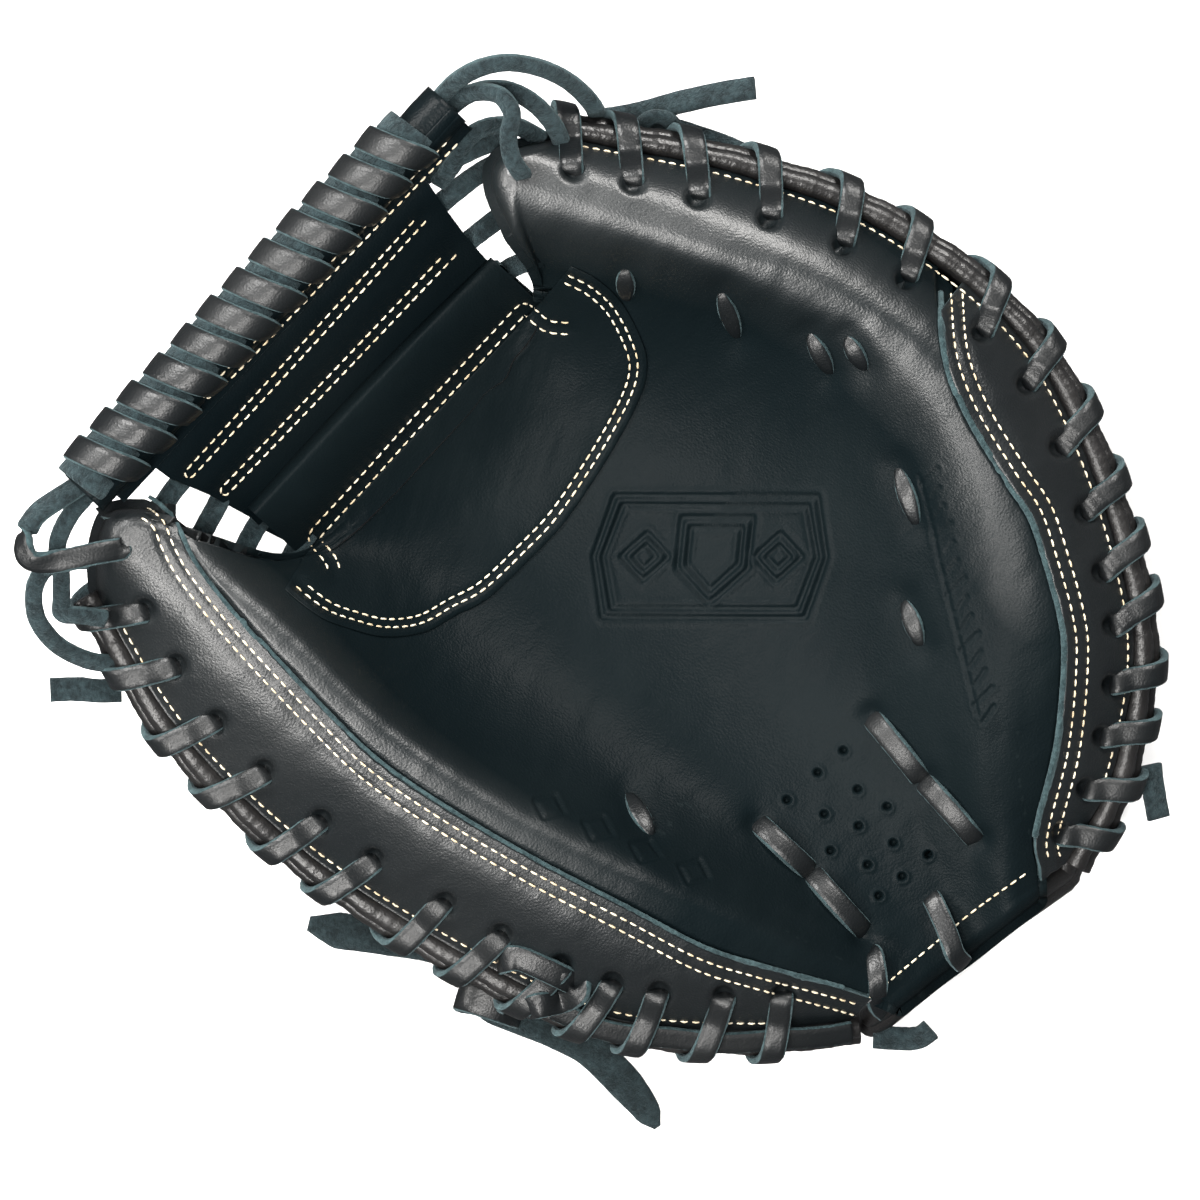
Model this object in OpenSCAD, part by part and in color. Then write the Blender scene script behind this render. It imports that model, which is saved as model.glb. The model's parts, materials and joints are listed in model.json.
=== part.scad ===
// Baseball catcher's mitt for the left hand, lying on its back with the pocket up.
// +Y runs from the heel to the web, +X from the thumb to the fingers, and +Z out of the pocket.
// The origin is on the surface that the back rests on, under the middle of the mitt.

/* [Mitt] */
// Width across the two rims
mitt_w = 234; // [210:1:260]
// Length from the heel edge to the top of the web bar
mitt_l = 270; // [250:1:300]
// Height of the padded crests above the surface that the back rests on
mitt_h = 98; // [90:1:108]

/* [Leather] */
// Thickness of the outer leather, measured straight down
leather_t = 3; // [2.5:0.1:3.5]
// Thickness of the lining leather
lining_t = 2; // [1.5:0.1:2.5]
// Radius of each rolled welt on the rim
welt_r = 2.8; // [2.2:0.1:2.9]

/* [Padding] */
// Depth from the outer face to the hand at the padded crests
crest_depth = 44; // [36:1:48]
// Depth from the outer face to the hand in the middle of the pocket
pocket_depth = 11; // [10:0.5:13]

/* [Laces] */
// Width of the leather lace
lace_w = 6.5; // [5:0.5:7]
// Thickness of the leather lace
lace_t = 2.2; // [1.8:0.1:2.6]
// Turns of lace on the finger rim
finger_turns = 16; // [14:1:18]
// Turns of lace on the thumb rim
thumb_turns = 13; // [11:1:15]
// Turns of lace wrapped on the web bar
bar_turns = 12; // [10:1:13]

/* [Web] */
// Length of the bar along the top of the web
bar_l = 143; // [130:1:150]
// Radius of the rolled leather of the bar
bar_r = 7.4; // [6:0.1:8]

/* [Hidden] */

gap = 0.3;                   // clear space between neighbouring layers
pad_gap = 1.8;               // clear space round each pad
drawn_size = [234, 270, 98]; // the size at which the section curves below are drawn
drawn_middle = [8.5, -11];   // the middle of the drawn mitt, which becomes the origin
rim_drop = 9;                // depth of the rim from the palm leather to the back leather

// Section curves of the outer face, each from the heel (first) to the web (last).
thumb_rim = [[-34, -129, 38], [-58, -108, 45], [-83, -74, 52], [-98, -23, 58], [-104, 20, 64], [-102, 62, 72],
    [-90, 102, 84]];
thumb_crest = [[-29, -130, 40], [-42, -98, 60], [-52, -68, 72], [-63, -25, 80], [-68, 20, 86], [-67, 60, 91],
    [-70, 112, 95]];
thumb_wall = [[-22, -131, 40], [-28, -94, 52], [-36, -62, 58], [-48, -24, 62], [-56, 18, 65], [-55, 56, 70],
    [-56, 86, 80]];
thumb_floor = [[-14, -132, 39], [-16, -100, 44], [-20, -66, 46], [-27, -26, 46], [-31, 14, 44], [-31, 46, 44],
    [-40, 68, 54]];
centre = [[-4, -134, 38], [-2, -108, 42], [0, -72, 44], [2, -30, 41], [3, 8, 37], [2, 40, 37], [0, 66, 46]];
finger_floor = [[6, -135.5, 39], [14, -108, 44], [25, -72, 46], [40, -32, 45], [44, 10, 42], [38, 45, 43],
    [40, 70, 55]];
finger_wall = [[15, -137, 40], [34, -101, 52], [52, -72, 58], [77, -36, 63], [84, 4, 66], [76, 42, 70],
    [56, 84, 81]];
finger_crest = [[24, -139, 40], [49, -110, 60], [75, -89, 73], [103, -40, 83], [104, 2, 89], [92, 42, 93],
    [66, 106, 97]];
finger_rim = [[33, -141, 38], [63, -132, 46], [97, -105, 54], [127, -45, 61], [126, 8, 68], [110, 50, 77],
    [82, 96, 86]];
last_row = len(centre) - 1;
last_column = 4;

// Heights of the back leather under the same curves, from the heel to the web.
back_side_z = [30, 20, 15, 13, 15, 24, 48];
back_wall_z = [30, 8, 0, 0, 0, 11, 40];
back_floor_z = [30, 6, 0, 0, 0, 9, 32];

// Share of the full padding depth along the mitt, from the heel to the web.
depth_along = [0.3, 0.72, 0.95, 1, 1, 0.98, 0.72];

// Side view of the web: distance along the mitt and height, from the pocket to the bar.
web_line = [[60, 46], [70, 52], [78, 59], [87, 68], [97, 79], [107, 90], [114, 96]];
bar_centre = [-2, 121, 99];
web_half_w = 49;

function lerp(a, b, t) = a + (b - a) * t;
function unit(v) = v / norm(v);
function flat_unit(v) = unit([v.x, v.y, 0]);
function smooth(t) = let (c = max(0, min(1, t))) c * c * (3 - 2 * c);
function up(h) = [0, 0, h];

// Turns a point of the drawn mitt into the row frame.
function place(p) = [
    (p.x - drawn_middle.x) * mitt_w / drawn_size.x,
    (p.y - drawn_middle.y) * mitt_l / drawn_size.y,
    p.z * mitt_h / drawn_size.z
];
function placed(list) = [for (p = list) place(p)];

// A smooth curve through a list of numbers or points, at t from 0 to the list's last index.
function entry(list, i) =
    i < 0 ? 2 * list[0] - list[1] :
    i >= len(list) ? 2 * list[len(list) - 1] - list[len(list) - 2] : list[i];
function spline(list, t) =
    let (
        i = max(0, min(len(list) - 2, floor(t))),
        f = t - i,
        a = entry(list, i - 1),
        b = entry(list, i),
        c = entry(list, i + 1),
        d = entry(list, i + 2)
    )
    0.5 * (2 * b + (c - a) * f + (2 * a - 5 * b + 4 * c - d) * f * f + (3 * b - a - 3 * c + d) * f * f * f);
function smooth_path(list, steps) = [for (i = [0:steps]) spline(list, i * (len(list) - 1) / steps)];

front_columns = [for (c = [thumb_rim, thumb_crest, thumb_wall, thumb_floor, centre, finger_floor, finger_wall,
    finger_crest, finger_rim]) placed(c)];

function at_height(a, b, t, heights) =
    [for (i = [0:last_row]) let (p = lerp(a[i], b[i], t)) place([p.x, p.y, heights[i]])];
function lowered(list, h) = [for (p = list) p - up(h)];

back_columns = [
    lowered(placed(thumb_rim), rim_drop),
    at_height(thumb_rim, thumb_crest, 0.55, back_side_z),
    at_height(thumb_crest, thumb_wall, 0.6, back_wall_z),
    at_height(thumb_floor, thumb_floor, 0, back_floor_z),
    at_height(centre, centre, 0, back_floor_z),
    at_height(finger_floor, finger_floor, 0, back_floor_z),
    at_height(finger_crest, finger_wall, 0.9, back_wall_z),
    at_height(finger_rim, finger_crest, 0.6, back_side_z),
    lowered(placed(finger_rim), rim_drop)
];

depth_across = [7, crest_depth, crest_depth * 0.55, pocket_depth + 2, pocket_depth,
    pocket_depth + 2, crest_depth * 0.55, crest_depth, 7];

// Points of the layers at u, from 0 at the heel to 6 at the web, and v, from -4 at the thumb rim
// through 0 in the middle of the pocket to 4 at the finger rim.
function skin(columns, u, v) = spline([for (c = columns) spline(c, u)], v + last_column);
function front(u, v) = skin(front_columns, u, v);
function depth(u, v) = max(7, spline(depth_across, v + last_column) * spline(depth_along, u));
function hand_side(u, v) = front(u, v) - up(depth(u, v));
function back(u, v) = let (p = skin(back_columns, u, v)) [p.x, p.y, max(p.z, 0)];

// The seam between the palm leather and the little finger gusset, as v at u.
gusset_u = [0.12, 3.6];
function finger_seam(u) =
    let (s = (u - gusset_u[0]) / (gusset_u[1] - gusset_u[0]))
    s <= 0 || s >= 1 ? 4 : 4 - 0.72 * sin(180 * s);
thumb_seam = -3.28;

// The edge of the finger back leather, as v at u: it leaves the opening for the hand's back free.
function finger_back_edge(u) = 1.65 - 1.25 * smooth((u - 1.85) / 0.5) - 1.5 * smooth((u - 3.6) / 0.7);

// A closed sheet between two faces, each a function of s and t from 0 to 1. s runs along +Y and t along +X.
module slab(nu, nv, top, bottom) {
    row = nv + 1;
    half = (nu + 1) * row;
    points = [for (f = [top, bottom]) for (i = [0:nu]) for (j = [0:nv]) f(i / nu, j / nv)];
    cells = [for (i = [0:nu - 1]) for (j = [0:nv - 1]) i * row + j];
    upper = [for (a = cells) each [[a, a + row, a + row + 1], [a, a + row + 1, a + 1]]];
    lower = [for (f = upper) [f[2] + half, f[1] + half, f[0] + half]];
    edge = concat(
        [for (j = [0:nv]) j],
        [for (i = [1:nu]) i * row + nv],
        [for (j = [1:nv]) nu * row + nv - j],
        [for (i = [1:nu - 1]) (nu - i) * row]
    );
    n = len(edge);
    sides = [for (k = [0:n - 1]) let (a = edge[k], b = edge[(k + 1) % n])
        each [[a, b, b + half], [a, b + half, a + half]]];
    polyhedron(points = points, faces = concat(upper, lower, sides));
}

// A layer of the mitt between two depths under a base surface, over a stretch of u and v.
module layer(nu, nv, u_range, v_low, v_high, top, bottom) {
    function u_at(s) = lerp(u_range[0], u_range[1], s);
    function v_at(s, t) = lerp(v_low(u_at(s)), v_high(u_at(s)), t);
    slab(nu, nv, function(s, t) top(u_at(s), v_at(s, t)), function(s, t) bottom(u_at(s), v_at(s, t)));
}

function always(x) = function(u) x;
function under_front(h) = function(u, v) front(u, v) - up(h);
function over_hand(h) = function(u, v) hand_side(u, v) + up(h);
function over_back(h) = function(u, v) back(u, v) + up(h);

// A solid swept along a path. outwards holds one direction per point, and ring is the outline as
// [across, outwards] pairs, anticlockwise as seen looking along the path.
module sweep(path, outwards, ring) {
    n = len(path);
    m = len(ring);
    points = [for (i = [0:n - 1]) let (
        t = unit(path[min(i + 1, n - 1)] - path[max(i - 1, 0)]),
        across = unit(cross(t, outwards[i])),
        out = cross(across, t)
    ) for (r = ring) path[i] + across * r[0] + out * r[1]];
    sides = [for (i = [0:n - 2]) for (k = [0:m - 1]) let (
        a = i * m + (k + 1) % m,
        b = a + m,
        d = i * m + k,
        c = d + m
    ) each [[a, b, c], [a, c, d]]];
    caps = concat(
        [for (k = [1:m - 2]) [0, k + 1, k]],
        [for (k = [1:m - 2]) let (e = (n - 1) * m) [e, e + k, e + k + 1]]
    );
    polyhedron(points = points, faces = concat(sides, caps));
}

function strip_ring(w, t) = [[w / 2, t / 2], [-w / 2, t / 2], [-w / 2, -t / 2], [w / 2, -t / 2]];
function round_ring(rx, ry, n) = [for (k = [0:n - 1]) [rx * cos(360 * k / n), ry * sin(360 * k / n)]];
function same(v, list) = [for (p = list) v];

module strip(path, outwards, w = lace_w, t = lace_t) sweep(path, outwards, strip_ring(w, t));
module cord_tube(path, w, t) sweep(path, same([0, 0, 1], path), round_ring(w / 2, t / 2, 8));

// Geometry of a rim: side is -1 on the thumb and 1 on the fingers.
function rim(side, u) = front(u, side * last_column);
function rim_along(side, u) = unit(rim(side, min(u + 0.05, 6)) - rim(side, max(u - 0.05, 0)));
function rim_out(side, u) = flat_unit(cross(rim_along(side, u), [0, 0, side]));
function rim_point(side, u, out, h) = rim(side, u) + rim_out(side, u) * out + up(h);

welt_steps = 30;
welt_out = welt_r + gap;
module welt(side, u_range, h) {
    us = [for (i = [0:welt_steps]) lerp(u_range[0], u_range[1], i / welt_steps)];
    path = [for (u = us) rim_point(side, u, welt_out, h)];
    sweep(path, [for (u = us) rim_out(side, u)], round_ring(welt_r, welt_r, 8));
}

// The lace spirals round the rim, in through the palm leather and out through the back.
rim_lace_reach = [9.2, 10]; // half width and half height of the spiral's section
turn_steps = 10;
module rim_lace(side, u_range, turns) {
    steps = turns * turn_steps;
    function radial(i) = let (
        u = lerp(u_range[0], u_range[1], i / steps),
        a = 360 * i / turn_steps
    ) -rim_out(side, u) * cos(a) * rim_lace_reach[0] + up(rim_lace_reach[1] * sin(a));
    path = [for (i = [0:steps]) rim_point(side, lerp(u_range[0], u_range[1], i / steps), -0.4, -5.5) + radial(i)];
    strip(path, [for (i = [0:steps]) radial(i)]);
}

// Short lace lying on the palm leather, with both ends in it.
sink = 0.8;
module palm_lace(from, to, bumps) {
    n = 4 * bumps;
    path = [for (i = [0:n]) let (p = front(lerp(from[0], to[0], i / n), lerp(from[1], to[1], i / n)))
        p + up(-sink + 2.2 * abs(sin(180 * bumps * i / n)))];
    strip(path, same([0, 0, 1], path));
}

// A web point, across from -1 at the thumb edge to 1 at the finger edge, and t from 0 at the pocket to 1 at the bar.
web_cup = 5;
function web(across, t) =
    let (p = spline(web_line, t * (len(web_line) - 1)))
    place([bar_centre.x + across * web_half_w * (1 + 0.06 * t), p[0], p[1] + web_cup * across * across]);

function bar_point(x) = place(bar_centre + [x, 0, 0]);

module palm_shell() {
    color("#2b2b2e")
        layer(20, 24, [0, 6], always(thumb_seam + 0.02), function(u) finger_seam(u) - 0.02,
            under_front(0), under_front(leather_t));
}

module palm_pad() {
    color("#cfc6b4")
        layer(16, 8, [0.6, 5.4], always(-1.1), always(1.25),
            under_front(leather_t + pad_gap), over_hand(lining_t + pad_gap));
}

module palm_lining() {
    color("#3a3836")
        layer(18, 14, [0.15, 5.55], always(-1.2), always(3.4), over_hand(lining_t), over_hand(0));
}

heel_edge_v = [-3.1, 3.3];
module heel_binding() {
    steps = 14;
    path = [for (i = [0:steps]) front(0, lerp(heel_edge_v[0], heel_edge_v[1], i / steps)) + [0, -3.6, -4]];
    color("#242427")
        sweep(path, same([0, 0, 1], path), round_ring(3.2, 4, 8));
}

// The two laces that hold the heel binding, as loops round the heel edge.
heel_lace_v = [-2.4, 0.3];
module heel_lace() {
    steps = 14;
    color("#1f1f22")
        for (v = heel_lace_v) {
            middle = front(0, v) + [0, 1.5, -4.5];
            spokes = [for (i = [0:steps]) let (a = 335 * i / steps) [0, -11.5 * cos(a), 7.5 * sin(a)]];
            strip([for (s = spokes) middle + s], spokes);
        }
}

module palm_lace_finger() {
    color("#1f1f22")
        palm_lace([1.9, 1.05], [0.75, 1.6], 2);
}

module palm_lace_thumb() {
    color("#1f1f22")
        palm_lace([1.9, -0.75], [0.65, -1.15], 2);
}

// Where short laces tie the pads to the palm leather, as [u, v].
pad_ties = [[5.2, 1.9], [4.6, 1.95], [4.0, 2.2], [2.9, 2.05], [2.2, 1.9], [2.45, -1.65]];
module pad_tie_laces() {
    color("#1f1f22")
        for (p = pad_ties) palm_lace([p[0] - 0.14, p[1]], [p[0] + 0.14, p[1]], 1);
}

module finger_gusset() {
    color("#2f2e31")
        layer(16, 3, [gusset_u[0] + 0.1, gusset_u[1] - 0.1], function(u) finger_seam(u) + 0.02, always(4),
            under_front(0), under_front(leather_t));
}

module finger_pad() {
    color("#cfc6b4")
        layer(17, 8, [0.6, 5.4], always(1.4), always(3.3),
            under_front(leather_t + pad_gap), over_hand(lining_t + pad_gap));
}

back_u = [0.85, 5.85];
module finger_back() {
    color("#2b2b2e")
        layer(25, 12, back_u, function(u) finger_back_edge(u), always(4), over_back(leather_t), over_back(0));
}

module finger_back_lining() {
    color("#3a3836")
        layer(22, 10, [back_u[0] + 0.2, back_u[1] - 0.4], function(u) finger_back_edge(u) + 0.3, always(3.2),
            over_back(leather_t + pad_gap + 1.5), over_back(leather_t + pad_gap));
}

// A leather loop that hangs from the lining and holds a finger or the thumb.
loop_drop = 15;
module inner_loop(u, v, half_w) {
    steps = 12;
    top = hand_side(u, v) - up(gap + lace_t);
    path = [for (i = [0:steps]) let (a = 180 * i / steps) top + [-half_w * cos(a), 0, -loop_drop * sin(a)]];
    strip(path, [for (p = path) p - top - up(0.01)], 12, 1.6);
}

module little_finger_loop() {
    color("#3a3836")
        inner_loop(2.6, 2.3, 10);
}

finger_rim_u = [0.1, 5.9];
module finger_welt_front() {
    color("#242427")
        welt(1, finger_rim_u, -3);
}

module finger_welt_back() {
    color("#242427")
        welt(1, finger_rim_u, -3 - 2 * welt_r - gap);
}

module finger_rim_lace() {
    color("#1f1f22")
        rim_lace(1, [0.22, 5.75], finger_turns);
}

thumb_rim_u = [0.2, 5.9];
module thumb_gusset() {
    color("#2f2e31")
        layer(18, 4, [0.15, 5.95], always(-4), always(thumb_seam - 0.02),
            under_front(0), under_front(leather_t));
}

module thumb_pad() {
    color("#cfc6b4")
        layer(17, 8, [0.6, 5.4], always(-3.2), always(-1.3),
            under_front(leather_t + pad_gap), over_hand(lining_t + pad_gap));
}

module thumb_lining() {
    color("#3a3836")
        layer(17, 8, [0.45, 5.55], always(-3.4), always(-1.3), over_hand(lining_t), over_hand(0));
}

module thumb_back() {
    color("#2b2b2e")
        layer(18, 8, back_u, always(-4), always(-1.4), over_back(leather_t), over_back(0));
}

module thumb_back_lining() {
    color("#3a3836")
        layer(18, 6, [back_u[0] + 0.2, back_u[1] - 0.4], always(-3.2), always(-1.7),
            over_back(leather_t + pad_gap + 1.5), over_back(leather_t + pad_gap));
}

module thumb_loop() {
    color("#3a3836")
        inner_loop(3.4, -2.3, 9);
}

module thumb_welt_front() {
    color("#242427")
        welt(-1, thumb_rim_u, -3);
}

module thumb_welt_back() {
    color("#242427")
        welt(-1, thumb_rim_u, -3 - 2 * welt_r - gap);
}

module thumb_rim_lace() {
    color("#1f1f22")
        rim_lace(-1, [0.5, 5.7], thumb_turns);
}

module web_sheet(t_range, across, nu, nv, high, low) {
    function at(s, t) = web(lerp(across[0], across[1], t), lerp(t_range[0], t_range[1], s));
    slab(nu, nv, function(s, t) at(s, t) + up(high), function(s, t) at(s, t) + up(low));
}

module web_panel() {
    color("#26262a")
        web_sheet([0.38, 0.95], [-1, 1], 8, 8, 0, -leather_t);
}

module web_backing() {
    color("#2b2b2e")
        web_sheet([0.3, 0.88], [-0.94, 0.94], 8, 8, -leather_t - gap, -2 * leather_t - gap);
}

// The patch lies on the palm leather inside a round seam, and runs up over the foot of the web.
patch_u = [4.55, 5.95];
patch_half_v = 1.42;
module web_pocket_patch() {
    function half_v(u) = patch_half_v * sqrt(1 - pow((patch_u[1] - u) / (patch_u[1] - patch_u[0] + 0.03), 2));
    color("#222226") {
        layer(10, 10, patch_u, function(u) -half_v(u), function(u) half_v(u),
            under_front(-gap - 2.4), under_front(-gap));
        web_sheet([0, 0.56], [-0.8, 0.8], 8, 8, gap + 5, gap + 1.2);
    }
}

module web_bar() {
    color("#26262a")
        translate(bar_point(-bar_l / 2)) rotate([0, 90, 0])
            difference() {
                cylinder(r = bar_r, h = bar_l, $fn = 48);
                translate([0, 0, -1]) cylinder(r = bar_r - leather_t - 1.2, h = bar_l + 2, $fn = 48);
            }
}

module web_bar_wrap() {
    turn = 12;
    steps = bar_turns * turn;
    wrap_l = bar_l * 0.84;
    function spoke(i) = [0, cos(360 * i / turn), sin(360 * i / turn)];
    reach = bar_r + lace_t / 2 + 0.5;
    path = [for (i = [0:steps]) bar_point(lerp(-wrap_l / 2, wrap_l / 2, i / steps)) + spoke(i) * reach];
    color("#1f1f22")
        strip(path, [for (i = [0:steps]) spoke(i)], lace_w + 1);
}

// Laces across the slots between the web and the two sides, as t up the web.
web_side_t = [0.5, 0.62, 0.74, 0.85];
module web_side_lace(side) {
    for (i = [0:len(web_side_t) - 1]) {
        inner = web(side * 0.94, web_side_t[i]) + up(1.6);
        outer = inner + [side * (9 + 1.3 * i), -3, 4];
        strip(smooth_path([inner, lerp(inner, outer, 0.5) - up(1.5), outer], 4), same([0, 0, 1], [0:4]));
    }
}

module web_side_lace_finger() {
    color("#1f1f22")
        web_side_lace(1);
}

module web_side_lace_thumb() {
    color("#1f1f22")
        web_side_lace(-1);
}

// Laces from the open ends of the bar to the tips, as points of the drawn mitt.
finger_top_routes = [
    [[69.5, 122, 101], [80, 124, 104], [91, 116, 103], [97, 102, 97]],
    [[69.5, 118, 97], [79, 118, 99], [85, 111, 98], [86, 102, 95]]
];
thumb_top_routes = [
    [[-76, 122, 101], [-88, 126, 101], [-98, 120, 98], [-103, 110, 93], [-103, 100, 88]],
    [[-76, 117, 96], [-84, 119, 98], [-92, 115, 97], [-96, 107, 93]]
];
module top_lace(routes) {
    for (r = routes) {
        path = smooth_path(placed(r), 12);
        sweep(path, same([0, 0, 1], path), round_ring(lace_w / 2.1, lace_t * 0.8, 8));
    }
}

module web_top_lace_finger() {
    color("#1d2325")
        top_lace(finger_top_routes);
}

module web_top_lace_thumb() {
    color("#1d2325")
        top_lace(thumb_top_routes);
}

strap_u = [1.12, 1.78];
module wrist_strap() {
    color("#2b2b2e")
        layer(4, 10, strap_u, always(-1.3), always(1.55), over_back(leather_t), over_back(0));
}

module wrist_strap_fleece() {
    color("#57534e")
        layer(4, 8, [strap_u[0] + 0.04, strap_u[1] - 0.04], always(-1.1), always(1.3),
            over_back(leather_t + pad_gap + 5), over_back(leather_t + pad_gap));
}

// Knots are small leather barrels outside the rim.
module knot(centre_point, r, h) {
    translate(place(centre_point)) rotate([90, 0, 0]) cylinder(r = r, h = h, center = true, $fn = 24);
}

module strap_tie_knot() {
    color("#1f1f22")
        knot([-98, -42, 30], 6, 12);
}

module rim_lace_knot() {
    color("#1f1f22")
        knot([101, 90, 66], 5, 9);
}

// Free ends of lace, as points of the drawn mitt.
strap_end_w = 10;
strap_tail_upper_route = [[-98, -37, 31], [-102, -28, 32], [-108, -18, 33], [-114, -9, 33], [-118, -2, 33]];
strap_tail_lower_route = [[-98, -46, 29], [-101, -53, 29], [-98, -61, 28], [-94, -70, 27], [-91, -80, 26],
    [-91, -90, 24], [-92, -100, 22], [-94, -109, 20]];
rim_tail_route = [[98, 90, 66], [104, 85, 68], [111, 79, 70], [118, 73, 71], [125, 67, 72], [131, 62, 72]];
rim_lace_end_route = [[104, 86, 63], [107, 78, 62], [111, 68, 61], [115, 58, 60], [117, 50, 59]];
rim_lace_heel_end_route = [[69, -139.5, 37], [66, -143, 36], [63, -147, 35], [60, -151, 34]];
thumb_lace_end_route = [[-106, 78, 60], [-110, 82, 61], [-114, 87, 61], [-119, 92, 61]];
heel_lace_end_route = [[-24, -145, 31], [-28, -144, 30], [-32, -140, 29], [-36, -135, 28]];

module tail(route, w, steps) {
    color("#182022")
        cord_tube(smooth_path(placed(route), steps), w, lace_t);
}

module strap_tail_upper() {
    tail(strap_tail_upper_route, strap_end_w, 6);
}

module strap_tail_lower() {
    tail(strap_tail_lower_route, strap_end_w, 10);
}

module rim_tail() {
    tail(rim_tail_route, lace_w, 8);
}

module rim_lace_end() {
    tail(rim_lace_end_route, lace_w, 6);
}

module rim_lace_heel_end() {
    tail(rim_lace_heel_end_route, lace_w, 4);
}

module thumb_lace_end() {
    tail(thumb_lace_end_route, lace_w, 4);
}

module heel_lace_end() {
    tail(heel_lace_end_route, lace_w, 4);
}

palm_shell();
palm_pad();
palm_lining();
heel_binding();
heel_lace();
palm_lace_finger();
palm_lace_thumb();
pad_tie_laces();
finger_gusset();
finger_pad();
finger_back();
finger_back_lining();
little_finger_loop();
finger_welt_front();
finger_welt_back();
finger_rim_lace();
thumb_gusset();
thumb_pad();
thumb_lining();
thumb_back();
thumb_back_lining();
thumb_loop();
thumb_welt_front();
thumb_welt_back();
thumb_rim_lace();
web_panel();
web_backing();
web_pocket_patch();
web_bar();
web_bar_wrap();
web_side_lace_finger();
web_side_lace_thumb();
web_top_lace_finger();
web_top_lace_thumb();
wrist_strap();
wrist_strap_fleece();
strap_tie_knot();
strap_tail_upper();
strap_tail_lower();
rim_lace_knot();
rim_tail();
rim_lace_end();
rim_lace_heel_end();
thumb_lace_end();
heel_lace_end();
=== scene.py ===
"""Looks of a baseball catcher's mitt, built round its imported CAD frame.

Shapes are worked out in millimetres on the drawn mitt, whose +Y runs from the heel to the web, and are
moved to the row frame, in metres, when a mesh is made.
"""

import json
import math

import bpy
import numpy as np
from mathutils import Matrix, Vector
from mathutils.bvhtree import BVHTree
from mathutils.kdtree import KDTree


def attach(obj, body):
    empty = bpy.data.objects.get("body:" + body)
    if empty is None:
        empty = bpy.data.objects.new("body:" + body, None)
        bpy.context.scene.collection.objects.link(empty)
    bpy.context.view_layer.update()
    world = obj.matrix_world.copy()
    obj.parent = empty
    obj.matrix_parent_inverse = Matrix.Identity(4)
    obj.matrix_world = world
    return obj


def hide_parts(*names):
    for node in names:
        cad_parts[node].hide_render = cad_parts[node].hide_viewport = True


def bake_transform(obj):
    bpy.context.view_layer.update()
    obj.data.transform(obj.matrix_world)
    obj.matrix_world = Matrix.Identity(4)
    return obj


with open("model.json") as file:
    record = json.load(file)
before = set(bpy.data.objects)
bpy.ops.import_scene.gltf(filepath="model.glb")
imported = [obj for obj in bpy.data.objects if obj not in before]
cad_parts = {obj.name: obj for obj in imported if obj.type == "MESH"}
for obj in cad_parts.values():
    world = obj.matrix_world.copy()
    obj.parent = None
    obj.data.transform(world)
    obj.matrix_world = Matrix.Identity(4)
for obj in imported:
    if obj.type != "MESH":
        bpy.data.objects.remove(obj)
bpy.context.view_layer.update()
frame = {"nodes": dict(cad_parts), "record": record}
chance = np.random.default_rng(7)

MM = 0.001
# The place on the drawn mitt that becomes the row frame's origin.
MIDDLE = np.array([8.5, -11.0, 0.0])
# Thicknesses and widths, in millimetres.
LEATHER = 3.0
PALM_LEATHER = 2.4
SIDE_LEATHER = 2.4
WEB_LEATHER = 2.6
LINING = 2.0
LACE_W = 6.5
LACE_T = 2.2
WELT_R = 2.9
EDGE_WIDTH = 4.6
BAR = np.array([-2.0, 121.0, 99.0])
BAR_L = 143.0
BAR_R = 7.4
BAR_WALL = 3.4


# ---------------------------------------------------------------- camera, lights and floor

CAMERA_UP = math.radians(-47)
VIEW_WIDTH = 0.324
LENS = 800
SENSOR = 36
SUBJECT_Z = 0.06


def make_camera():
    data = bpy.data.cameras.new("camera")
    data.lens = LENS
    data.sensor_width = SENSOR
    data.clip_end = 20
    camera = bpy.data.objects.new("camera", data)
    distance = VIEW_WIDTH * LENS / SENSOR
    camera.location = (-MIDDLE[0] * MM, -MIDDLE[1] * MM, SUBJECT_Z + distance)
    camera.rotation_euler = (0, 0, CAMERA_UP)
    bpy.context.scene.collection.objects.link(camera)
    bpy.context.scene.camera = camera


WHITE, SOFT, WARM, COOL = (1.0, 1.0, 1.0), (1.0, 0.985, 0.965), (1.0, 0.975, 0.945), (0.97, 0.985, 1.0)
# Name, place and diameter in metres, power in watts, and colour.
LIGHTS = [
    ("wash", (0, 0, 2.3), 2.0, 54, WHITE),
    ("overhead", (-0.35, 0.0, 1.9), 0.6, 27, WARM),
    ("right", (1.22, 0.34, 0.9), 0.6, 24, WARM),
    ("key", (0.1, 1.35, 1.25), 0.6, 44, SOFT),
    ("left", (-1.2, -0.05, 1.4), 0.6, 30, WARM),
    ("low", (-0.8, 0.95, 0.72), 0.45, 12, WARM),
    ("fill", (-1.15, -0.6, 1.1), 0.8, 2, COOL),
]
LIGHTS_AIM = (0, 0, 0.05)
# Height on the sky, from below to above, and brightness there.
SKY = [(0.0, 0.16), (0.3, 0.16), (0.6, 0.14), (0.86, 0.1), (1.0, 0.1)]
SKY_COLOUR = (0.95, 0.97, 1.0, 1)
FLOOR_HALF = 6
FLOOR_WHITE = 0.93


def make_lights():
    """Disk lights. The leather doesn't mirror the wide wash."""
    for name, place, size, power, colour in LIGHTS:
        data = bpy.data.lights.new(name, "AREA")
        data.shape = "DISK"
        data.size = size
        data.energy = power
        data.color = colour
        light = bpy.data.objects.new(name, data)
        light.location = place
        light.rotation_euler = (Vector(LIGHTS_AIM) - Vector(place)).to_track_quat("-Z", "Y").to_euler()
        light.visible_glossy = name != "wash"
        bpy.context.scene.collection.objects.link(light)


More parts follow.
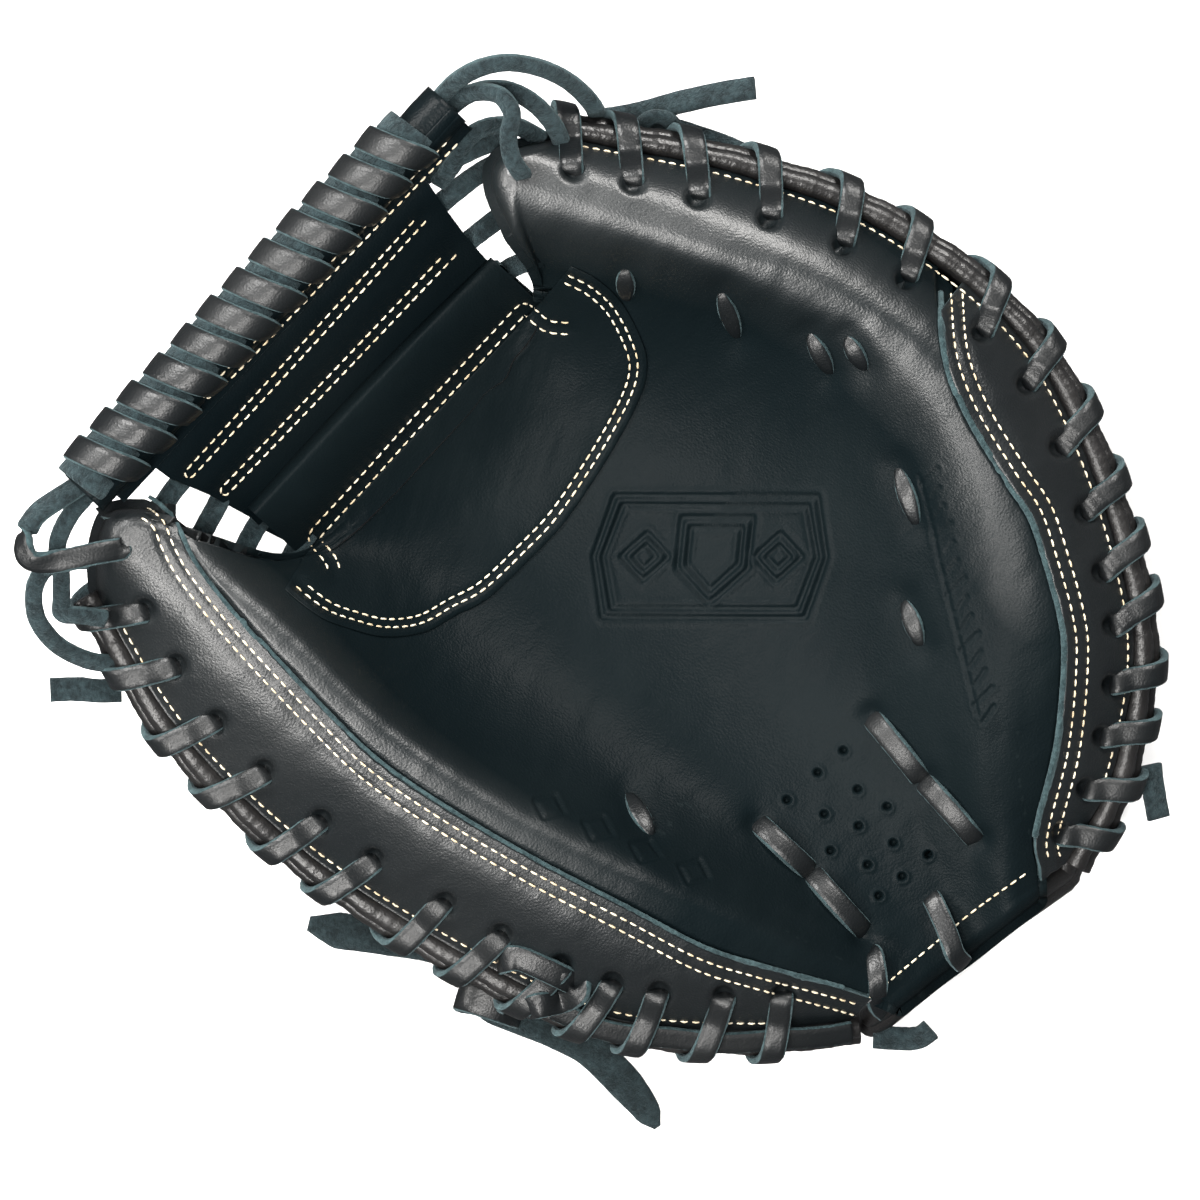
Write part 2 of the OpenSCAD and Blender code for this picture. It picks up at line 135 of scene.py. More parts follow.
def make_world():
    world = bpy.data.worlds.new("studio")
    bpy.context.scene.world = world
    world.use_nodes = True
    tree = world.node_tree
    where = tree.nodes.new("ShaderNodeTexCoord")
    parts = tree.nodes.new("ShaderNodeSeparateXYZ")
    shade = tree.nodes.new("ShaderNodeValToRGB")
    while len(shade.color_ramp.elements) < len(SKY):
        shade.color_ramp.elements.new(0.5)
    for element, (height, light) in zip(shade.color_ramp.elements, SKY):
        element.position, element.color = height, grey(light)
    background = tree.nodes["Background"]
    background.inputs["Color"].default_value = SKY_COLOUR
    tree.links.new(where.outputs["Generated"], parts.inputs[0])
    tree.links.new(parts.outputs["Z"], shade.inputs["Fac"])
    tree.links.new(shade.outputs["Color"], background.inputs["Strength"])


def make_floor():
    mesh = bpy.data.meshes.new("floor")
    corners = [(x * FLOOR_HALF, y * FLOOR_HALF, 0) for x, y in ((-1, -1), (1, -1), (1, 1), (-1, 1))]
    mesh.from_pydata(corners, [], [(0, 1, 2, 3)])
    floor = bpy.data.objects.new("floor", mesh)
    bpy.context.scene.collection.objects.link(floor)
    paper = bpy.data.materials.new("paper")
    paper.use_nodes = True
    shader = paper.node_tree.nodes["Principled BSDF"]
    shader.inputs["Base Color"].default_value = grey(FLOOR_WHITE)
    shader.inputs["Roughness"].default_value = 0.9
    mesh.materials.append(paper)
    floor.visible_glossy = False


def make_studio():
    make_lights()
    bpy.context.scene.view_settings.view_transform = "Standard"
    make_world()
    make_floor()


# ---------------------------------------------------------------- materials

class Nodes:
    """A short way to write a material's nodes."""

    def __init__(self, name):
        self.material = bpy.data.materials.new(name)
        self.material.use_nodes = True
        self.tree = self.material.node_tree
        self.shader = self.tree.nodes["Principled BSDF"]
        self.where = self.add("ShaderNodeTexCoord").outputs["Object"]

    def add(self, kind, links=(), **settings):
        node = self.tree.nodes.new(kind)
        for key, value in settings.items():
            setattr(node, key, value)
        for socket, value in dict(links).items():
            self.set(node, socket, value)
        return node

    def set(self, node, socket, value):
        if isinstance(value, bpy.types.NodeSocket):
            self.tree.links.new(value, node.inputs[socket])
        else:
            node.inputs[socket].default_value = value

    def noise(self, scale, detail=3.0, roughness=0.55, where=None):
        links = {"Vector": where or self.where, "Scale": scale, "Detail": detail, "Roughness": roughness}
        return self.add("ShaderNodeTexNoise", links).outputs["Fac"]

    def cells(self, scale, feature="F1", where=None):
        links = {"Vector": where or self.where, "Scale": scale}
        return self.add("ShaderNodeTexVoronoi", links, feature=feature).outputs["Distance"]

    def maths(self, operation, a, b=0.0):
        return self.add("ShaderNodeMath", {0: a, 1: b}, operation=operation).outputs[0]

    def ramp(self, value, low, high, from_low=0.0, from_high=1.0):
        links = {"Value": value, "From Min": from_low, "From Max": from_high, "To Min": low, "To Max": high}
        return self.add("ShaderNodeMapRange", links).outputs["Result"]

    def mix(self, share, a, b):
        node = self.add("ShaderNodeMix", data_type="RGBA")
        self.set(node, 0, share)
        self.set(node, 6, a)
        self.set(node, 7, b)
        return node.outputs[2]

    def stretched(self, scale):
        return self.add("ShaderNodeMapping", {"Vector": self.where, "Scale": scale}).outputs["Vector"]

    def bump(self, height, distance, strength=1.0, under=None):
        node = self.add("ShaderNodeBump", {"Height": height, "Distance": distance, "Strength": strength})
        if under is not None:
            self.set(node, "Normal", under)
        return node.outputs["Normal"]

    def put(self, **sockets):
        for socket, value in sockets.items():
            self.set(self.shader, socket.replace("_", " "), value)
        return self.material


def grey(level):
    return (level, level, level, 1)


def leather(name, dark, worn, roughness, grain, grain_depth, crease_depth, specular, painted_shade_specular=None):
    """Grained leather: cells of grain, fine creases, patches of colour, and wear on what stands proud."""
    m = Nodes(name)
    warp = m.noise(420, 2)
    patches = m.noise(16, 3)
    fine = m.noise(grain * 2.3, 3, 0.6)
    cells = m.cells(grain, "SMOOTH_F1")
    creases = m.noise(1.0, 5, 0.65, m.stretched((95, 240, 170)))
    height = m.maths("ADD", m.maths("MULTIPLY", cells, 0.75), m.maths("MULTIPLY", fine, 0.12))
    low = m.bump(creases, crease_depth)
    normal = m.bump(m.maths("ADD", height, m.maths("MULTIPLY", warp, 0.15)), grain_depth, 1.0, low)
    edge = m.ramp(m.add("ShaderNodeNewGeometry").outputs["Pointiness"], 0.0, 1.0, 0.52, 0.6)
    share = m.maths("MULTIPLY", m.maths("MAXIMUM", edge, m.ramp(patches, 0.0, 0.7, 0.45, 0.75)), 0.9)
    shade = m.mix(share, dark, worn)
    gloss = m.ramp(m.maths("ADD", m.maths("MULTIPLY", patches, 0.6), m.maths("MULTIPLY", fine, 0.4)),
                   roughness - 0.09, roughness + 0.1, 0.3, 0.7)
    if painted_shade_specular is None:
        m.set(m.shader, "Specular IOR Level", specular)
    else:
        # Painted shade and highlight: the specular level climbs with height, so the deep pocket barely
        # reflects and the crests reflect fully.
        height = m.add("ShaderNodeSeparateXYZ", {0: m.where}).outputs["Z"]
        m.set(m.shader, "Specular IOR Level", m.ramp(height, painted_shade_specular, specular, 0.074, 0.098))
    return m.put(Base_Color=shade, Roughness=gloss, Normal=normal)


def suede(name, dark, light, fibre, depth):
    """The raw side or the cut edge of leather, with short fibres."""
    m = Nodes(name)
    clumps = m.noise(260, 3)
    fibres = m.noise(fibre, 4, 0.7)
    flecks = m.ramp(m.maths("ADD", m.maths("MULTIPLY", clumps, 0.45), m.maths("MULTIPLY", fibres, 0.55)),
                    0, 1, 0.42, 0.66)
    m.set(m.shader, "Sheen Weight", 0.12)
    m.set(m.shader, "Sheen Roughness", 0.6)
    m.set(m.shader, "Sheen Tint", (0.55, 0.75, 0.8, 1))
    m.set(m.shader, "Specular IOR Level", 0.15)
    return m.put(Base_Color=m.mix(flecks, dark, light), Roughness=m.ramp(clumps, 0.85, 1.0),
                 Normal=m.bump(fibres, depth))


def twisted_thread(name):
    m = Nodes(name)
    tone = m.noise(120, 2)
    fibres = m.noise(2600, 2, 0.7)
    colour = m.mix(m.ramp(tone, 0, 1, 0.35, 0.65), (0.48, 0.38, 0.24, 1), (0.72, 0.65, 0.5, 1))
    return m.put(Base_Color=colour, Roughness=m.ramp(fibres, 0.5, 0.75), Normal=m.bump(fibres, 0.00012))


def wool(name, dark, light, scale, depth):
    m = Nodes(name)
    tufts = m.noise(scale, 5, 0.75)
    curls = m.cells(scale * 0.6)
    height = m.maths("ADD", tufts, m.maths("MULTIPLY", curls, 0.6))
    m.set(m.shader, "Sheen Weight", 0.3)
    return m.put(Base_Color=m.mix(m.ramp(tufts, 0, 1, 0.35, 0.65), dark, light),
                 Roughness=m.ramp(tufts, 0.9, 1.0), Normal=m.bump(height, depth))


# Dark and worn colour, roughness, size and depth of the grain, depth of the creases, and specular level. The
# palm leather's last value is its specular level down in the pocket: its specular level climbs with height,
# which paints shade into the pocket and highlights onto the crests.
LEATHERS = {
    "palm_leather": ((0.0024, 0.0046, 0.0055, 1), (0.0046, 0.0075, 0.0084, 1), 0.44, 1700, 0.00012, 0.00005,
                     1.0, 0.05),
    "side_leather": ((0.003, 0.0046, 0.0054, 1), (0.0062, 0.0078, 0.0084, 1), 0.4, 1700, 0.00012, 0.00005,
                     0.6),
    "back_leather": ((0.007, 0.0072, 0.0078, 1), (0.014, 0.014, 0.014, 1), 0.4, 850, 0.0003, 0.0005, 0.5),
    "web_leather": ((0.0015, 0.0034, 0.0043, 1), (0.0032, 0.0054, 0.0062, 1), 0.4, 1600, 0.00012, 0.00006,
                    0.1),
    "binding_leather": ((0.0065, 0.0062, 0.0062, 1), (0.017, 0.016, 0.0155, 1), 0.38, 1600, 0.00012, 0.00012,
                        0.6),
    "lace_leather": ((0.003, 0.004, 0.0046, 1), (0.0075, 0.0084, 0.0088, 1), 0.4, 1700, 0.0001, 0.00008,
                     0.48),
    "lining_leather": ((0.03, 0.027, 0.025, 1), (0.055, 0.05, 0.046, 1), 0.62, 1000, 0.0002, 0.0003, 0.3),
}
# Dark and light colour, size of the fibres or tufts, and their depth.
SUEDES = {
    "lace_suede": ((0.0025, 0.0052, 0.0064, 1), (0.02, 0.034, 0.038, 1), 700, 0.0016),
    "strap_suede": ((0.0025, 0.005, 0.006, 1), (0.016, 0.027, 0.03, 1), 800, 0.0015),
    "raw_edge": ((0.008, 0.017, 0.019, 1), (0.04, 0.068, 0.072, 1), 1300, 0.0004),
}
WOOLS = {
    "felt": ((0.42, 0.37, 0.30, 1), (0.66, 0.61, 0.53, 1), 900, 0.0006),
    "fleece": ((0.02, 0.02, 0.021, 1), (0.06, 0.06, 0.06, 1), 320, 0.002),
}


def make_materials():
    finish = {name: leather(name, *looks) for name, looks in LEATHERS.items()}
    finish.update({name: suede(name, *looks) for name, looks in SUEDES.items()})
    finish["thread"] = twisted_thread("thread")
    finish.update({name: wool(name, *looks) for name, looks in WOOLS.items()})
    return finish


# ---------------------------------------------------------------- curves and the drawn mitt

# A place on the outer face is u, from 0 at the heel to U_WEB at the web, and v, from -V_RIM at the thumb rim
# to V_RIM at the finger rim. Each section curve runs from the heel to the web.
U_WEB = 6
V_RIM = 4.0
FRONT_CURVES = np.array([
    [[-34, -129, 38], [-58, -108, 45], [-83, -74, 52], [-98, -23, 58], [-104, 20, 64], [-102, 62, 75],
     [-90, 103, 80]],
    [[-29, -130, 40], [-42, -98, 60], [-52, -68, 72], [-63, -25, 80], [-68, 20, 86], [-67, 60, 91],
     [-72, 118, 95]],
    [[-22, -131, 40], [-28, -94, 52], [-36, -62, 58], [-48, -24, 62], [-56, 18, 65], [-56, 54, 70],
     [-57, 82, 79]],
    [[-14, -132, 39], [-16, -100, 44], [-20, -66, 46], [-27, -26, 46], [-31, 14, 44], [-31, 46, 44],
     [-49, 62, 53]],
    [[-4, -134, 38], [-2, -108, 42], [0, -72, 44], [2, -30, 41], [3, 8, 37], [2, 40, 37], [0, 66, 46]],
    [[6, -135.5, 39], [14, -108, 44], [25, -72, 46], [40, -32, 45], [44, 10, 42], [38, 45, 43], [52, 63, 53]],
    [[15, -137, 40], [34, -101, 52], [52, -72, 58], [77, -36, 63], [84, 4, 66], [76, 42, 70], [54, 84, 81]],
    [[24, -139, 40], [49, -110, 60], [75, -89, 73], [103, -40, 83], [104, 2, 89], [92, 42, 93],
     [66, 106, 97]],
    [[33, -141, 38], [63, -132, 46], [97, -105, 54], [127, -45, 61], [126, 8, 68], [110, 50, 77],
     [82, 96, 86]],
], float)
# Heights of the back's curves, and how far below the outer face the hand's side lies, along u and across v.
BACK_SIDE_Z = [30, 20, 15, 13, 15, 24, 48]
BACK_WALL_Z = [30, 8, 0, 0, 0, 11, 40]
BACK_FLOOR_Z = [30, 6, 0, 0, 0, 9, 32]
RIM_DROP = 9.0
DEPTH_ALONG = [0.3, 0.72, 0.95, 1, 1, 0.98, 0.72]
DEPTH_ACROSS = [7, 44, 24.2, 13, 11, 13, 24.2, 44, 7]

# Seams of the two side panels and of the patch in the pocket, and the air holes, seen from above.
THUMB_SEAM = [(-71, 111), (-67, 107), (-66, 101), (-69, 94), (-72, 84), (-75, 62), (-77, 31), (-77, 12),
              (-73, -13), (-67, -39), (-60, -64), (-54, -86), (-47, -101), (-38, -118), (-33, -128)]
FINGER_SEAM = [(134, -6), (126, -14), (115, -26), (108, -40), (103, -58), (100, -71), (93, -84), (85, -97),
               (77, -106), (58, -121), (37, -133), (32, -139)]
POCKET_SEAM = [(57, 66), (59, 59), (59, 51), (56, 42), (52, 36), (44, 32), (28, 28), (9, 25), (-4, 25),
               (-19, 26), (-28, 29), (-37, 32), (-44, 38), (-48, 45), (-51, 52), (-52, 60), (-52, 64)]
AIR_HOLES = [(15, -76), (6, -75), (10, -86), (-5, -74), (12, -95), (-1, -84), (3, -93), (6, -103),
             (-7, -92), (10, -112), (-3, -102), (1, -111), (-7, -110)]


def spline(knots, t):
    """A smooth curve through knots at t, from 0 to the last knot's number."""
    knots = np.asarray(knots, float)
    t = np.asarray(t, float)
    flat = knots.ndim == 1
    if flat:
        knots = knots[:, None]
    i = np.clip(np.floor(t).astype(int), 0, len(knots) - 2)
    f = (t - i)[(...,) + (None,) * (knots.ndim - 1)]
    ends = np.concatenate([[2 * knots[0] - knots[1]], knots, [2 * knots[-1] - knots[-2]]])
    a, b, c, d = (ends[i + k] for k in range(4))
    value = 0.5 * (2 * b + (c - a) * f + (2 * a - 5 * b + 4 * c - d) * f**2 + (3 * b - a - 3 * c + d) * f**3)
    return value[..., 0] if flat else value


def across(columns, t):
    """A rounder curve drawn by columns of points, one row of them for each t, from 0 to the last column."""
    count = columns.shape[-2]
    i = np.clip(np.floor(t).astype(int), 0, count - 2)
    f = (t - i)[..., None]
    first = 2 * columns[..., :1, :] - columns[..., 1:2, :]
    last = 2 * columns[..., -1:, :] - columns[..., -2:-1, :]
    ends = np.concatenate([first, columns, last], axis=-2)
    a, b, c, d = (np.take_along_axis(ends, (i + k)[..., None, None], -2)[..., 0, :] for k in range(4))
    near, far = 3 * f**3 - 6 * f**2 + 4, 1 + 3 * f + 3 * f**2 - 3 * f**3
    return ((1 - f)**3 * a + near * b + far * c + f**3 * d) / 6


def skin(curves, u, t):
    columns = spline(np.moveaxis(curves, 0, 1), np.clip(u, 0, U_WEB))
    return across(columns, t)


def at_height(a, b, share, heights):
    curve = FRONT_CURVES[a] * (1 - share) + FRONT_CURVES[b] * share
    curve[:, 2] = heights
    return curve


BACK_CURVES = np.array([
    FRONT_CURVES[0] - [0, 0, RIM_DROP],
    at_height(0, 1, 0.55, BACK_SIDE_Z),
    at_height(1, 2, 0.6, BACK_WALL_Z),
    at_height(3, 3, 0, BACK_FLOOR_Z),
    at_height(4, 4, 0, BACK_FLOOR_Z),
    at_height(5, 5, 0, BACK_FLOOR_Z),
    at_height(7, 6, 0.9, BACK_WALL_Z),
    at_height(8, 7, 0.6, BACK_SIDE_Z),
    FRONT_CURVES[8] - [0, 0, RIM_DROP],
])


# How far the crests stand above the section curves, across v and along u.
ROLL_RISE = np.array([0, 4, 6, -1, -1, -1, 6, 4, 0.0])
DOME_ALONG = np.array([0, 0.75, 1, 1, 1, 1, 0.75])
FINGER_DOME_ALONG = np.array([0, 0.4, 0.2, 0.1, 0.5, 1.4, 1.1])
INNER_DOME = 7.5
OUTER_DOME = 8.5


def domed_curves():
    """The front curves with one more on each side of both crests, so that the rolls are broad and round."""
    curves = FRONT_CURVES.copy()
    curves[..., 2] += ROLL_RISE[:, None]
    result = list(curves)
    for first, rise in ((7, OUTER_DOME * DOME_ALONG), (6, INNER_DOME * FINGER_DOME_ALONG),
                        (1, INNER_DOME * DOME_ALONG), (0, OUTER_DOME * DOME_ALONG)):
        between = (curves[first] + curves[first + 1]) / 2
        between[:, 2] += rise
        result.insert(first + 1, between)
    return np.array(result)


DOMED_CURVES = domed_curves()


def front(u, v):
    """The outer face, with full round rolls beside both rims."""
    u, v = np.broadcast_arrays(np.asarray(u, float), np.clip(v, -V_RIM, V_RIM))
    return skin(DOMED_CURVES, u, 6 + v + np.sign(v) * np.maximum(np.abs(v) - 2, 0))


def back(u, v):
    u, v = np.broadcast_arrays(np.asarray(u, float), np.clip(v, -V_RIM, V_RIM))
    points = skin(BACK_CURVES, u, v + V_RIM)
    points[..., 2] = np.maximum(points[..., 2], 0)
    return points


def lowered(points, depth):
    moved = points.copy()
    moved[..., 2] -= depth
    return moved


def hand_side(u, v):
    """The hand's side of the lining."""
    deep = spline(DEPTH_ACROSS, v + V_RIM) * spline(DEPTH_ALONG, u)
    return lowered(front(u, v), np.maximum(deep, 7))


def relax(rows, times):
    """Smooths a line, or the rows of a grid, in place. The first and the last stay."""
    for _ in range(times):
        rows[1:-1] = (rows[:-2] + 2 * rows[1:-1] + rows[2:]) / 4


def running_mean(points, half):
    """A line smoothed with the mean of half a window on each side."""
    kernel = np.ones(2 * half + 1) / (2 * half + 1)
    longer = np.pad(points, ((half, half), (0, 0)), mode="edge")
    return np.stack([np.convolve(values, kernel, "valid") for values in longer.T], axis=1)


def hump(distance, width):
    return np.exp(-(distance / width) ** 2)


def resample(points, count=None, step=None):
    """Points spaced evenly along a line."""
    points = np.asarray(points, float)
    lengths = np.linalg.norm(np.diff(points, axis=0), axis=1)
    along = np.concatenate([[0], np.cumsum(lengths)])
    n = count or max(2, int(round(along[-1] / step)) + 1)
    where = np.linspace(0, along[-1], n)
    return np.stack([np.interp(where, along, points[:, k]) for k in range(points.shape[1])], axis=1)


def smooth_line(points, step=1.0):
    """A smooth line through given points, with samples a step apart."""
    points = np.asarray(points, float)
    fine = spline(points, np.linspace(0, len(points) - 1, 24 * len(points)))
    return resample(fine, step=step)


def offset_line(line, distance):
    """The line moved sideways, to its left for a positive distance, seen from above."""
    step = np.gradient(line[:, :2], axis=0)
    step /= np.linalg.norm(step, axis=1)[:, None]
    moved = line.copy()
    moved[:, :2] += np.stack([-step[:, 1], step[:, 0]], axis=1) * distance
    return moved


# A chart from a place seen from above to the u and v of the outer face.
CHART_U, CHART_V = (g.ravel() for g in np.meshgrid(np.linspace(0, U_WEB, 301),
                                                   np.linspace(-V_RIM, V_RIM, 321), indexing="ij"))
CHART_POINTS = front(CHART_U, CHART_V)
CHART = KDTree(len(CHART_U))
for number, point in enumerate(CHART_POINTS):
    CHART.insert((point[0], point[1], 0), number)
CHART.balance()


def uv_of(line):
    """u and v of the outer face at each point of a line seen from above."""
    found = []
    for x, y in np.asarray(line)[:, :2]:
        near = CHART.find_n((x, y, 0), 4)
        weights = np.array([1 / (d + 0.05) for _, _, d in near])
        numbers = [n for _, n, _ in near]
        found.append((weights @ CHART_U[numbers] / weights.sum(), weights @ CHART_V[numbers] / weights.sum()))
    return np.array(found)


def seam_v(seam, beyond=None):
    """v of a seam as a function of u. Above the seam's end, v runs on to the value beyond."""
    uv = uv_of(resample(seam, step=2.0))
    order = np.argsort(uv[:, 0])
    u_knots, v_knots = uv[order, 0], uv[order, 1]
    if beyond:
        u_knots, v_knots = np.append(u_knots, u_knots[-1] + 0.03), np.append(v_knots, beyond)
    return lambda u: np.interp(u, u_knots, v_knots)


def distance_to(places, line, reach):
    """Distance from each place to a line, seen from above, and reach where it is further than that."""
    line = np.asarray(line, float)[:, :2]
    result = np.full(len(places), float(reach))
    low, high = line.min(0) - reach, line.max(0) + reach
    chosen = np.flatnonzero(((places[:, :2] > low) & (places[:, :2] < high)).all(1))
    for block in np.array_split(chosen, max(1, len(chosen) * len(line) // 4_000_000)):
        if len(block):
            gaps = places[block, None, :2] - line[None]
            result[block] = np.minimum(np.sqrt((gaps**2).sum(2)).min(1), reach)
    return result


def waves(places, scale, seed, octaves=3):
    """Smooth noise from -1 to 1, the sum of a few turned sine fields, over places seen from above."""
    field = np.zeros(len(places))
    source = np.random.default_rng(seed)
    for octave in range(octaves):
        for _ in range(5):
            angle, phase, stretch = source.uniform((0, 0, 0.7), (2 * math.pi, 7, 1.4))
            k = 2 * math.pi * 2**octave * stretch / scale
            run = places[:, 0] * math.cos(angle) + places[:, 1] * math.sin(angle)
            field += np.sin(k * run + phase + 2 * np.sin(k * 0.37 * places[:, 1] + phase)) / 2**octave
    return field / 6


# ---------------------------------------------------------------- meshes

def to_frame(points):
    return (np.asarray(points, float) - MIDDLE) * MM


def make_piece(name, points, faces, materials, face_material=None, follow=None):
    """A mesh object from points of the drawn mitt. It follows one body when one is given."""
    mesh = bpy.data.meshes.new(name)
    mesh.from_pydata(to_frame(points).tolist(), [], [tuple(int(i) for i in f) for f in faces])
    for material in materials:
        mesh.materials.append(MATERIALS[material])
    if face_material is not None:
        mesh.polygons.foreach_set("material_index", np.asarray(face_material, np.int32))
    mesh.polygons.foreach_set("use_smooth", np.full(len(mesh.polygons), True))
    mesh.update()
    piece = bpy.data.objects.new(name, mesh)
    bpy.context.scene.collection.objects.link(piece)
    if follow:
        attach(piece, follow)
    else:
        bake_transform(piece)
    return piece


def grid_faces(rows, columns, first=0):
    a = (np.arange(rows - 1)[:, None] * columns + np.arange(columns - 1)[None]).ravel() + first
    return np.stack([a, a + columns, a + columns + 1, a + 1], axis=1)


def normals_of(grid):
    """Upward normals of a grid of points."""
    along = np.gradient(grid, axis=0)
    over = np.gradient(grid, axis=1)
    normal = np.cross(over, along)
    length = np.linalg.norm(normal, axis=2, keepdims=True)
    normal = normal / np.maximum(length, 1e-9)
    return np.where(normal[..., 2:] < 0, -normal, normal)


def shell(name, top, bottom, slot, raw=True):
    """A closed sheet between two grids of points. Leather has raw edges."""
    rows, columns = top.shape[:2]
    count = rows * columns
    points = np.concatenate([top.reshape(-1, 3), bottom.reshape(-1, 3)])
    ring = np.concatenate([np.arange(columns), np.arange(1, rows) * columns + columns - 1,
                           (rows - 1) * columns + np.arange(columns - 2, -1, -1),
                           np.arange(rows - 2, 0, -1) * columns])
    after = np.roll(ring, -1)
    sides = np.stack([ring, after, after + count, ring + count], axis=1)
    upper, lower = grid_faces(rows, columns), grid_faces(rows, columns, count)[:, ::-1]
    if signed_up(top) < 0:
        upper, lower = upper[:, ::-1], lower[:, ::-1]
    faces = np.concatenate([upper, lower, sides])
    marks = np.zeros(len(faces), int)
    marks[-len(sides):] = raw
    return make_piece(name, points, faces, [slot, "raw_edge"][:1 + raw], marks)


def signed_up(grid):
    """Above zero where a grid's first cell, taken row by row, turns to the left seen from above."""
    a = grid[1, 0] - grid[0, 0]
    b = grid[0, 1] - grid[0, 0]
    return np.cross(a, b)[2]


def circle(sides, width=1.0, height=1.0):
    """Outline of a round or oval tube."""
    angle = np.linspace(0, 2 * math.pi, sides, endpoint=False)
    return np.stack([np.cos(angle) * width, np.sin(angle) * height], axis=1)


def sweep_points(path, outwards, ring):
    """Rings of points along a path. ring is (count, 2) or (samples, count, 2): across and outwards."""
    path = np.asarray(path, float)
    ahead = np.gradient(path, axis=0)
    ahead /= np.linalg.norm(ahead, axis=1)[:, None]
    side = np.cross(ahead, outwards)
    side /= np.linalg.norm(side, axis=1)[:, None]
    out = np.cross(side, ahead)
    ring = np.broadcast_to(ring, (len(path),) + np.shape(ring)[-2:])
    return path[:, None] + side[:, None] * ring[..., :1] + out[:, None] * ring[..., 1:]


def tube_faces(samples, sides, first=0):
    """Walls and both ends of a tube of rings."""
    a = first + (np.arange(samples - 1)[:, None] * sides + np.arange(sides)[None]).ravel()
    b = first + (np.arange(samples - 1)[:, None] * sides + (np.arange(sides) + 1)[None] % sides).ravel()
    walls = [tuple(f) for f in np.stack([a, b, b + sides, a + sides], axis=1)]
    start = tuple(first + k for k in range(sides))[::-1]
    end = tuple(first + (samples - 1) * sides + k for k in range(sides))
    return walls + [start, end]


CROWN = 0.12


def strap_ring(width, thickness):
    """Outline of a lace: flat sides with rounded edges and a slightly crowned grain side."""
    w, h = width / 2, thickness / 2
    r = min(h * 0.55, w * 0.4)
    return np.array([
        (w, -h + r), (w, h - r), (w - r * 0.6, h), (w * 0.4, h + CROWN * 0.8), (0, h + CROWN),
        (-w * 0.4, h + CROWN * 0.8), (-w + r * 0.6, h), (-w, h - r), (-w, -h + r), (-w + r * 0.6, -h),
        (0, -h), (w - r * 0.6, -h)])


# The material of each face round a lace, as a place in its list of grain, suede and edge.
SIDE_MATERIALS = (2, 2, 0, 0, 0, 0, 2, 2, 1, 1, 1, 1)
LACE = ("lace_leather", "lace_suede", "raw_edge")
SUEDE = ("lace_suede", "lace_suede", "lace_suede")


class Laces:
    """Collects strips of lace into one mesh."""

    def __init__(self):
        self.points, self.faces, self.marks, self.count = [], [], [], 0

    def add(self, path, outwards, width=LACE_W, thickness=LACE_T, taper=None, roughen=0.06):
        path = np.asarray(path, float)
        ring = strap_ring(width, thickness)
        rings = np.repeat(ring[None], len(path), axis=0)
        if taper is not None:
            rings = rings * np.asarray(taper)[:, None, None] ** np.array([1, 0.4])
        rings = rings + chance.normal(0, roughen, rings.shape) * np.array([0.6, 0.25])
        grid = sweep_points(path, outwards, rings)
        self.points.append(grid.reshape(-1, 3))
        self.faces += tube_faces(len(path), len(ring), self.count)
        self.marks += list(SIDE_MATERIALS) * (len(path) - 1) + [1, 1]
        self.count += grid.shape[0] * grid.shape[1]

    def build(self, name, slot="lace_leather", materials=LACE, follow=None):
        return make_piece(name, np.concatenate(self.points), self.faces, materials, self.marks, follow)


class Surface:
    """Heights of built pieces, looked up from above."""

    def __init__(self, *pieces):
        points, faces = [], []
        for piece in pieces:
            first = len(points)
            points += [tuple(v.co) for v in piece.data.vertices]
            faces += [tuple(first + i for i in p.vertices) for p in piece.data.polygons]
        self.tree = BVHTree.FromPolygons(points, faces)

    def at(self, line):
        """Points and upward normals on the surface under each place of a line, or on the chart beyond it."""
        points, normals = [], []
        for place in np.asarray(line, float):
            x, y = (place[:2] - MIDDLE[:2]) * MM
            hit, normal, _, _ = self.tree.ray_cast(Vector((x, y, 0.3)), Vector((0, 0, -1)))
            if hit is None:
                _, number, _ = CHART.find((place[0], place[1], 0))
                points.append((place[0], place[1], CHART_POINTS[number, 2]))
                normals.append((0, 0, 1))
            else:
                points.append((place[0], place[1], hit.z / MM))
                normals.append(tuple(normal if normal.z > 0 else -normal))
        return np.array(points), np.array(normals)


